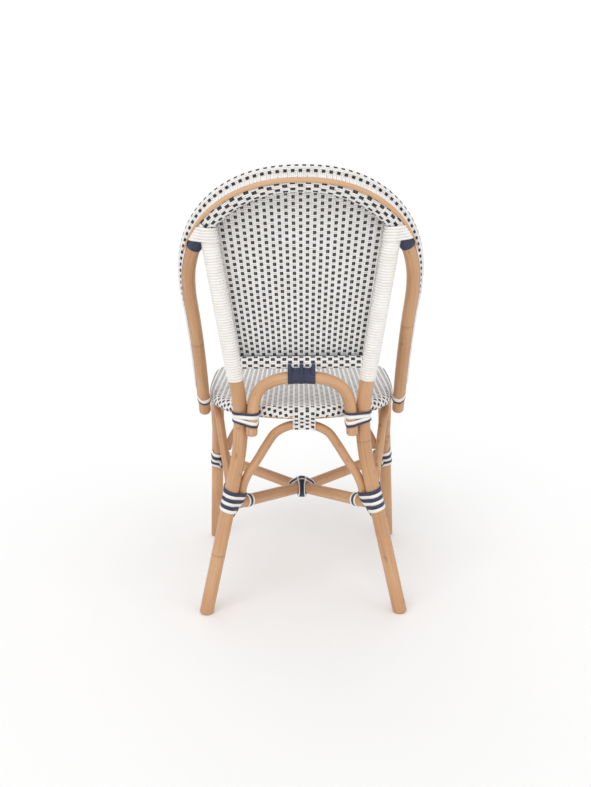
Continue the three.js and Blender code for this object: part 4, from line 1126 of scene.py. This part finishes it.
def leg_lashing(node, leg, leg_radius, arms, foot, top, crossing, stripes, hidden_share):
    """Navy and white stripes round a leg and the feet of its arches, white at the bottom.

    hidden_share is where on the outline a cord's end is out of sight."""
    low, high = leg.at_height(foot), leg.at_height(top)
    outwards = leg.at_height(crossing) - (np.array([0, CROSS_Y, crossing]) + SHIFT)
    view = View(low, unit(high - low) - LASHING_TILT * SIDEWAYS, outwards)
    stripe = view.height(high) / stripes
    middle = view.height(leg.at_height(crossing))
    reach = STRETCHER_RADIUS + LASHING_GUARD + stripe / 2

    def circles_at(height):
        """Below its foot an arch's circle shrinks into that of the leg."""
        circles = [view.circle(leg, leg_radius, height)]
        for arm, base in arms:
            lowest = view.height(base + SHIFT)
            circle = view.circle(arm, APRON_RADIUS, max(height, lowest))
            fade = min(max((lowest - ARM_FADE_START - height) / ARM_FADE_LENGTH, 0), ARM_FADE_MOST)
            circles.append(circle * (1 - fade) + circles[0] * fade)
        return circles

    def manner(first, count, raised):
        """The cord makes way for the stretcher on the side that faces the middle of the chair."""
        def lift(point, out, turn):
            facing = -point[0] / np.linalg.norm(point)
            level = first + int(turn) * 2 * stripe
            clear = reach * (1 if level > middle else -1) + middle - level
            return smoothstep(facing, FACING_LOW, FACING_HIGH) * (clear if abs(level - middle) < reach else 0)
        return dict(turns=count - 1 + JOG_SHARE, climb=2 * stripe, lift=lift, from_share=hidden_share,
                    jog=True, raised=raised)

    width, navy_first, white_first = stripe * WOUND_SHARE, 1.5 * stripe, 0.5 * stripe
    view.bind(node, circles_at, (
        ("navy", navy_first, width, manner(navy_first, stripes // 2, NAVY_RAISE)),
        ("white", white_first, width, manner(white_first, (stripes + 1) // 2, 0)),
    ))


REAR_TURNS_START = 0.0495
FRONT_TURNS_START = 0.020
TURNS_REACH = 0.020
TURNS_CLIMB = 0.0008
# Colour, height and width
STRETCHER_STRIPES = (("navy", 0.0081, 0.0066), ("white", 0.0024, 0.0044), ("white", 0.0138, 0.0044))


def stretcher_lashing(node, place, way):
    """Three turns round a stretcher's end: navy between two thin white ones."""
    curve = stretcher.part(place, place + way * TURNS_REACH)
    view = View(curve.at(0), curve.along(curve.length / 2), UP)
    circle = np.array([0.0, 0.0, STRETCHER_RADIUS])
    view.bind(node, lambda height: [circle],
              [(*stripe, dict(climb=TURNS_CLIMB)) for stripe in STRETCHER_STRIPES])


HIP_HEIGHT = 0.416
HIP_STRAP_OUTER = 0.016
HIP_STRAP_SPAN = 0.053
HIP_FRONT_FALL = 0.014
HIP_FRONT_FADE = (0.3, 0.9)
HIP_BACK_FADE = (0.0, 0.7)
# Colour, height, width, and how far the strap falls from the leg to the arch
HIP_STRAPS = (("navy", 0.0112, 0.0044, 0.0), ("white", 0.0046, 0.0078, 0.0),
              ("white", 0.0000, 0.0068, 0.0095), ("navy", -0.0045, 0.0044, 0.0115))
HIP_NAVY_RAISE = 0.0006


def hip_lashing(node):
    """Two straps of navy and white round the leg and the lower arch, which spread towards the arch."""
    view = View(rear_leg.at_height(HIP_HEIGHT), UP, SIDEWAYS)
    arch_leg = lower_arch.half()

    def circles_at(height):
        return [view.circle(rear_leg, REAR_LEG_RADIUS, height),
                view.circle(arch_leg, LOWER_ARCH_RADIUS, height)]

    def lift_by(fall):
        def lift(point, out, turn):
            inner = (HIP_STRAP_OUTER - point[0]) / HIP_STRAP_SPAN
            front = HIP_FRONT_FALL * smoothstep(-out[1], *HIP_FRONT_FADE)
            return -front - smoothstep(out[1], *HIP_BACK_FADE) * fall * inner
        return lift

    view.bind(node, circles_at, [
        (colour, level, width, dict(lift=lift_by(fall), raised=HIP_NAVY_RAISE if colour == "navy" else 0))
        for colour, level, width, fall in HIP_STRAPS])


HOOP_END_LOW = 0.4195
HOOP_END_HIGH = 0.442
HOOP_END_RISE = 0.009
HOOP_END_POWER = 1.5
# Colour, height and width
HOOP_END_STRIPES = (("navy", 0.0022, 0.0046), ("white", 0.0086, 0.0080))


def hoop_end_lashing(node):
    """A white strap over a narrow navy one at the foot of the hoop, higher on the outside."""
    low, high = hoop_left.at_height(HOOP_END_LOW), hoop_left.at_height(HOOP_END_HIGH)
    view = View(low, high - low, SIDEWAYS)
    manner = dict(lift=lambda point, out, turn: HOOP_END_RISE * max(out[0], 0) ** HOOP_END_POWER,
                  from_share=HIDDEN_SHARE)
    view.bind(node, lambda height: [view.circle(hoop_left, HOOP_RADIUS, height)],
              [(*stripe, manner) for stripe in HOOP_END_STRIPES])


RING_TOP = 0.0225
RING_HUMP = 0.0175
# Colour, height, width and how far the cord stands out
RING_STRIPES = (("navy", -0.0050, 0.0051, 0.0007), ("navy", 0.0, 0.0051, 0.0007),
                ("navy", 0.0050, 0.0051, 0.0007),
                ("white", -0.0092, 0.0036, 0.0), ("white", 0.0092, 0.0036, 0.0))
STEM_REACH = 0.013
STEM_DROP = 0.001
STEM_TOP_RADIUS = 0.0090
STEM_TOP_GAP = 0.0015
STEM_GUARD = 0.0028
STEM_MIDDLE = 0.004
STEM_HALF = 0.0038
STEM_FLARE = 0.0036
# Colour, width, how far it stands out, its side, its share of the half width, and what it adds to that
STEM_STRIPES = (("navy", 0.0062, 0.0, -0.5, 0.8, 0.0), ("navy", 0.0062, 0.0, 0.5, 0.8, 0.0),
                ("white", 0.0032, -0.0003, -1, 1, 0.0012), ("white", 0.0032, -0.0003, 1, 1, 0.0012))


def centre_ring():
    """A ring over the two stretchers where they meet."""
    view = View(np.array([0, CROSS_Y, CROSS_HEIGHT]) + SHIFT, -BACKWARDS, SIDEWAYS)

    def circles_at(height):
        circle = view.circle(stretcher, STRETCHER_RADIUS, height)
        return [circle, circle * MIRROR, np.array([0.0, RING_TOP - RING_HUMP, RING_HUMP])]

    view.bind("centre_lashing_ring", circles_at, [
        (colour, level, width, dict(raised=raised)) for colour, level, width, raised in RING_STRIPES])


def centre_stem():
    """The turns that tie the ring between the stretchers, wider towards their top and their foot."""
    view = View(np.array([0, CROSS_Y, CROSS_HEIGHT]) + SHIFT, SIDEWAYS, UP)
    radius = STRETCHER_RADIUS + STEM_GUARD
    circles = [np.array([-STEM_DROP, side * STEM_REACH, radius]) for side in (-1, 1)]
    circles.append(np.array([RING_TOP - STEM_TOP_RADIUS + STEM_TOP_GAP, 0.0, STEM_TOP_RADIUS]))

    def lift_by(side, share, more):
        def lift(point, out, turn):
            drop = min(abs(point[0] - STEM_MIDDLE) / radius, 1)
            return side * ((STEM_HALF + STEM_FLARE * drop ** 3) * share + more)
        return lift

    view.bind("centre_lashing_stem", lambda height: circles, [
        (colour, 0, width, dict(raised=raised, lift=lift_by(side, share, more)))
        for colour, width, raised, side, share, more in STEM_STRIPES])


CENTRE_WRAP_HALF = 0.0265
WRAP_CORDS = 18
WRAP_CORD = 2 * CENTRE_WRAP_HALF / WRAP_CORDS
WRAP_CORD_SHARE = 0.98
WRAP_POINTS = 61
WRAP_GUARD = 0.0011
WRAP_LIP = (0.006, -0.0155, 0.0050)
TIE_PLACES = (-0.0228, 0.0, 0.0228)
TIE_WIDTH = 0.0070
TIE_SHARES = (0.05, 0.195)
TIE_RAIL_GUARD = 0.0034
TIE_ARCH_GUARD = 0.0012


def centre_wrap():
    """Navy cords round the top of the lower arch, with three short ties up to the bottom rail."""
    navy = Strands()

    def ring_of(place, circles, width, first=0.0, last=1.0):
        outline = [outline_at(circles, share) for share in np.linspace(first, last, WRAP_POINTS)]
        centres = np.array([[0, *point] for point, _ in outline]) + SIDEWAYS * place + SHIFT
        navy.add(centres, SIDEWAYS, np.array([[0, *out] for _, out in outline]), width, LASH_THICK)

    for place in np.linspace(-1, 1, WRAP_CORDS) * (CENTRE_WRAP_HALF - WRAP_CORD / 2):
        _, arch_y, arch_z = lower_arch.at(lower_arch.where(-lower_arch.points[:, 0], -place)) - SHIFT
        ring_of(place, [np.array([arch_y, arch_z, LOWER_ARCH_RADIUS + WRAP_GUARD]),
                        np.array([RAIL_Y, RAIL_HEIGHT, 0]) + WRAP_LIP], WRAP_CORD * WRAP_CORD_SHARE)
    circles = [np.array([RAIL_Y, RAIL_HEIGHT, RAIL_RADIUS + TIE_RAIL_GUARD]),
               np.array([*LOWER_ARCH_TOP, LOWER_ARCH_RADIUS + TIE_ARCH_GUARD])]
    for place in TIE_PLACES:
        ring_of(place, circles, TIE_WIDTH, *TIE_SHARES)
    navy.piece("centre_wrap", "cords", NAVY_CORD, "navy_binding")


SHOULDER_WRAP_FOOT = 0.757
SHOULDER_WRAP_TOP = 0.788
SHOULDER_WRAP_WAY = (-0.10, 0.12, 0.98)
SHOULDER_CORNER = 0.004
POST_WINDING_FOOT = 0.496
POST_WINDING_TOP = 0.768
POST_WINDING_PITCH = 0.0053
CREST_WINDING = 0.040
CREST_OVERLAP = 0.011
NAVY_BAND = 0.026
NAVY_BAND_PITCH = 0.0034


def slanted(curve, radius, view, height):
    """Two circles whose outline is about the long section of a pole that leans in the view."""
    circle = view.circle(curve, radius, height)
    tangent = curve.along(curve.where(view.height(curve.points), height))
    lean = np.array([tangent @ view.across, tangent @ view.over])
    offset = lean / np.linalg.norm(lean) * (circle[2] - radius)
    return [np.array([*(circle[:2] + side * offset), radius]) for side in (-1, 1)]


def shoulder_wrap(node):
    """Turns of white cord round the post and the hoop together, where they meet."""
    view = View(rear_leg.at_height(SHOULDER_WRAP_FOOT), SHOULDER_WRAP_WAY, SIDEWAYS)
    length = (SHOULDER_WRAP_TOP - SHOULDER_WRAP_FOOT) / view.along[2]
    turns = round(length / POST_WINDING_PITCH)
    pitch = length / turns

    def circles_at(height):
        """The lowest turn leaves the hoop and rounds the corner to the post alone."""
        post = slanted(rear_leg, REAR_LEG_RADIUS + LASH_THICK, view, height)
        bow = slanted(hoop_left, HOOP_RADIUS + LASH_THICK, view, height)
        full = smoothstep(height, -pitch, SHOULDER_CORNER)
        return post + [there * full + here * (1 - full) for here, there in zip(post, bow)]

    strands = Strands()
    view.wind(strands, circles_at, pitch / 2, pitch * WOUND_SHARE, turns - 1, pitch, from_share=HIDDEN_SHARE)
    strands.piece(node, "wrap", CREAM_CORD, "white_binding")


def windings():
    """The cords wound round one pole alone, and the turns round post and hoop at the shoulders."""
    low, high = rear_leg.where_height(POST_WINDING_FOOT), rear_leg.where_height(POST_WINDING_TOP)
    crest_end = CREST_SHARE * hoop.length
    band_end = crest_end - CREST_WINDING
    both_sides("post_winding", winding, rear_leg, low, high, REAR_LEG_RADIUS, POST_WINDING_PITCH,
               CREAM_CORD, "white_binding")
    both_sides("crest_end_winding", winding, hoop, band_end, crest_end - CREST_OVERLAP, HOOP_RADIUS,
               POST_WINDING_PITCH, CREAM_CORD, "white_binding")
    both_sides("crest_end_winding", shoulder_wrap)
    both_sides("navy_band", winding, hoop, band_end - NAVY_BAND, band_end, HOOP_RADIUS, NAVY_BAND_PITCH,
               NAVY_CORD, "navy_binding")


def lashings():
    both_sides("rear_leg_lashing", leg_lashing, rear_leg, REAR_LEG_RADIUS,
               [(rear_apron.half(), rear_arm), (side_apron.half(), rear_side_arm)], **REAR_LASHING)
    both_sides("front_leg_lashing", leg_lashing, front_leg, FRONT_LEG_RADIUS,
               [(front_apron.half(), front_arm), (side_apron.half(far=True), front_side_arm)],
               **FRONT_LASHING)
    both_sides("rear_stretcher_lashing", stretcher_lashing, REAR_TURNS_START, 1)
    both_sides("front_stretcher_lashing", stretcher_lashing, stretcher.length - FRONT_TURNS_START, -1)
    both_sides("hip_lashing", hip_lashing)
    both_sides("hoop_end_lashing", hoop_end_lashing)
    centre_ring()
    centre_stem()
    centre_wrap()


# The frame's poles, each with a seed for its waves and its grain

FULL_ROUNDING = (0.006, 0.006)
FRONT_LEG_ROUNDING = (0.003, 0.002)
REAR_LEG_ENDS = dict(end=rear_leg.length - 0.004, rounding=(0.003, 0.006))
RIM_CORE_RADIUS = RIM_RADIUS - 0.0012
RAIL_POLE_REACH = 0.118
HIDDEN_SIDES = 20


def poles():
    cane_pole("rear_leg_left", rear_leg, REAR_LEG_RADIUS, seed=1.3, joints=[0.131], **REAR_LEG_ENDS)
    cane_pole("rear_leg_right", rear_leg, REAR_LEG_RADIUS, seed=3.1, joints=[0.375], **REAR_LEG_ENDS)
    cane_pole("front_leg_left", front_leg, FRONT_LEG_RADIUS, seed=4.4, rounding=FRONT_LEG_ROUNDING)
    cane_pole("front_leg_right", front_leg, FRONT_LEG_RADIUS, seed=5.2, rounding=FRONT_LEG_ROUNDING)
    cane_pole("back_hoop", hoop, HOOP_RADIUS, seed=2.2, joints=[0.187, hoop.length - 0.229],
              rounding=FULL_ROUNDING)
    cane_pole("rim_core", rim, RIM_CORE_RADIUS, seed=6.1)
    cane_pole("lower_back_arch", lower_arch, LOWER_ARCH_RADIUS, seed=7.3, rounding=FULL_ROUNDING)
    cane_pole("bottom_rail", rail_curve(RAIL_POLE_REACH), RAIL_RADIUS, seed=1.9)
    cane_pole("seat_ring", ring, RING_RADIUS, seed=8.8, sides=HIDDEN_SIDES, closed=True)
    cane_pole("apron_arch_rear", rear_apron, APRON_RADIUS, seed=9.4)
    cane_pole("apron_arch_front", front_apron, APRON_RADIUS, seed=3.9)
    cane_pole("apron_arch_left", side_apron, APRON_RADIUS, seed=7.9)
    cane_pole("apron_arch_right", side_apron, APRON_RADIUS, seed=2.7)
    cane_pole("stretcher_left", stretcher, STRETCHER_RADIUS, seed=6.7)
    cane_pole("stretcher_right", stretcher, STRETCHER_RADIUS, seed=4.6, joints=[0.36])
    height = RING_HEIGHT + RING_RADIUS - BRACE_RADIUS
    rear_y = SEAT_REAR_Y - BRACE_REAR_GAP
    brace = straight_curve((BRACE_HALF, SEAT_FRONT_Y, height), (BRACE_HALF, rear_y, height), BRACE_POINTS)
    cane_pole("seat_brace_left", brace, BRACE_RADIUS, seed=8.1, sides=HIDDEN_SIDES)
    cane_pole("seat_brace_right", brace, BRACE_RADIUS, seed=5.5, sides=HIDDEN_SIDES)


def fasteners():
    """The screws and dowels keep their CAD shapes, and get their own materials."""
    for name, node in frame["nodes"].items():
        if "screw" in name or "dowel" in name:
            node.data.materials.clear()
            node.data.materials.append(STEEL if "screw" in name else DOWEL_WOOD)


poles()
windings()
back_panel()
seat()
rim_weave()
rim_lip()
crest_weave()
rail_weave()
rear_arch_flap()
hoop_trim()
lashings()
fasteners()


# Floor, light and camera

FLOOR_HALF = 60.0
FLOOR_SHADE = 0.975
FLOOR_DARKER = 0.995
FLOOR_SCALE = 3
FLOOR_ROUGHNESS = 0.9
WORLD_LIGHT = 0.76
WORLD_SEEN = 1.0
LAMP_WIDTH = math.radians(45)
# Name, the way to the lamp, and its strength
LAMPS = (("key", (0.6, 1.2, 1.3), 0.8), ("fill", (-0.9, 0.8, 1.0), 0.25), ("front", (0.2, -1.0, 1.2), 0.2))
CAMERA_LENS_PIXELS = 771.4
IMAGE_HEIGHT_PIXELS = 787
SENSOR_MM = 36
CAMERA_PLACE = (0.0069, 1.7005, 0.8069)
CAMERA_PITCH = math.radians(13.1)
CAMERA_YAW = math.radians(0.2)
CAMERA_ROLL = math.radians(0.5)


def floor_material():
    """A plain pale floor that takes the chair's shadow."""
    shader = new_shader("floor")
    light, dark = ((shade, shade, shade, 1) for shade in (FLOOR_SHADE, FLOOR_SHADE * FLOOR_DARKER))
    noise = shader.noise(shader.place(), scale=FLOOR_SCALE)
    return shader.finish({
        "Base Color": shader.ramp(noise, SOFT_STOPS, dark, light), "Roughness": FLOOR_ROUGHNESS,
        "Specular IOR Level": 0.0})


def floor():
    mesh = bpy.data.meshes.new("floor")
    corners = [(x * FLOOR_HALF, y * FLOOR_HALF, 0) for x, y in ((-1, -1), (1, -1), (1, 1), (-1, 1))]
    mesh.from_pydata(corners, [], [(0, 1, 2, 3)])
    mesh.materials.append(floor_material())
    made = bpy.data.objects.new("floor", mesh)
    bpy.context.scene.collection.objects.link(made)


def world():
    """White where the camera sees it, also through a reflection or a clear surface, and dimmer as a light."""
    sky = Tree(bpy.data.worlds.new("studio"), "Background")
    seen = sky.node("LightPath", "Is Camera Ray")
    for ray in ("Is Glossy Ray", "Is Transmission Ray"):
        seen = sky.node("Math", 0, {0: seen, 1: sky.node("LightPath", ray)}, operation="MAXIMUM")
    bpy.context.scene.world = sky.finish({
        "Color": (1, 1, 1, 1), "Strength": sky.scaled(seen, WORLD_LIGHT, WORLD_SEEN)})


def lamp(name, way, strength):
    """A wide, soft sun that shines from a direction."""
    data = bpy.data.lights.new(name, "SUN")
    data.angle = LAMP_WIDTH
    data.energy = strength
    made = bpy.data.objects.new(name, data)
    made.rotation_euler = Vector(way).to_track_quat("Z", "Y").to_euler()
    bpy.context.scene.collection.objects.link(made)


def camera():
    data = bpy.data.cameras.new("camera")
    data.sensor_width = SENSOR_MM
    data.lens = CAMERA_LENS_PIXELS / IMAGE_HEIGHT_PIXELS * SENSOR_MM
    made = bpy.data.objects.new("camera", data)
    made.location = np.array(CAMERA_PLACE) + SHIFT
    turn = Euler((math.pi / 2 - CAMERA_PITCH, 0, math.pi + CAMERA_YAW), "XYZ").to_matrix()
    roll = Euler((0, 0, -CAMERA_ROLL), "XYZ").to_matrix()
    made.rotation_euler = (turn @ roll).to_euler()
    bpy.context.scene.collection.objects.link(made)
    bpy.context.scene.camera = made


floor()
world()
for values in LAMPS:
    lamp(*values)
camera()
bpy.context.scene.view_settings.view_transform = "Standard"
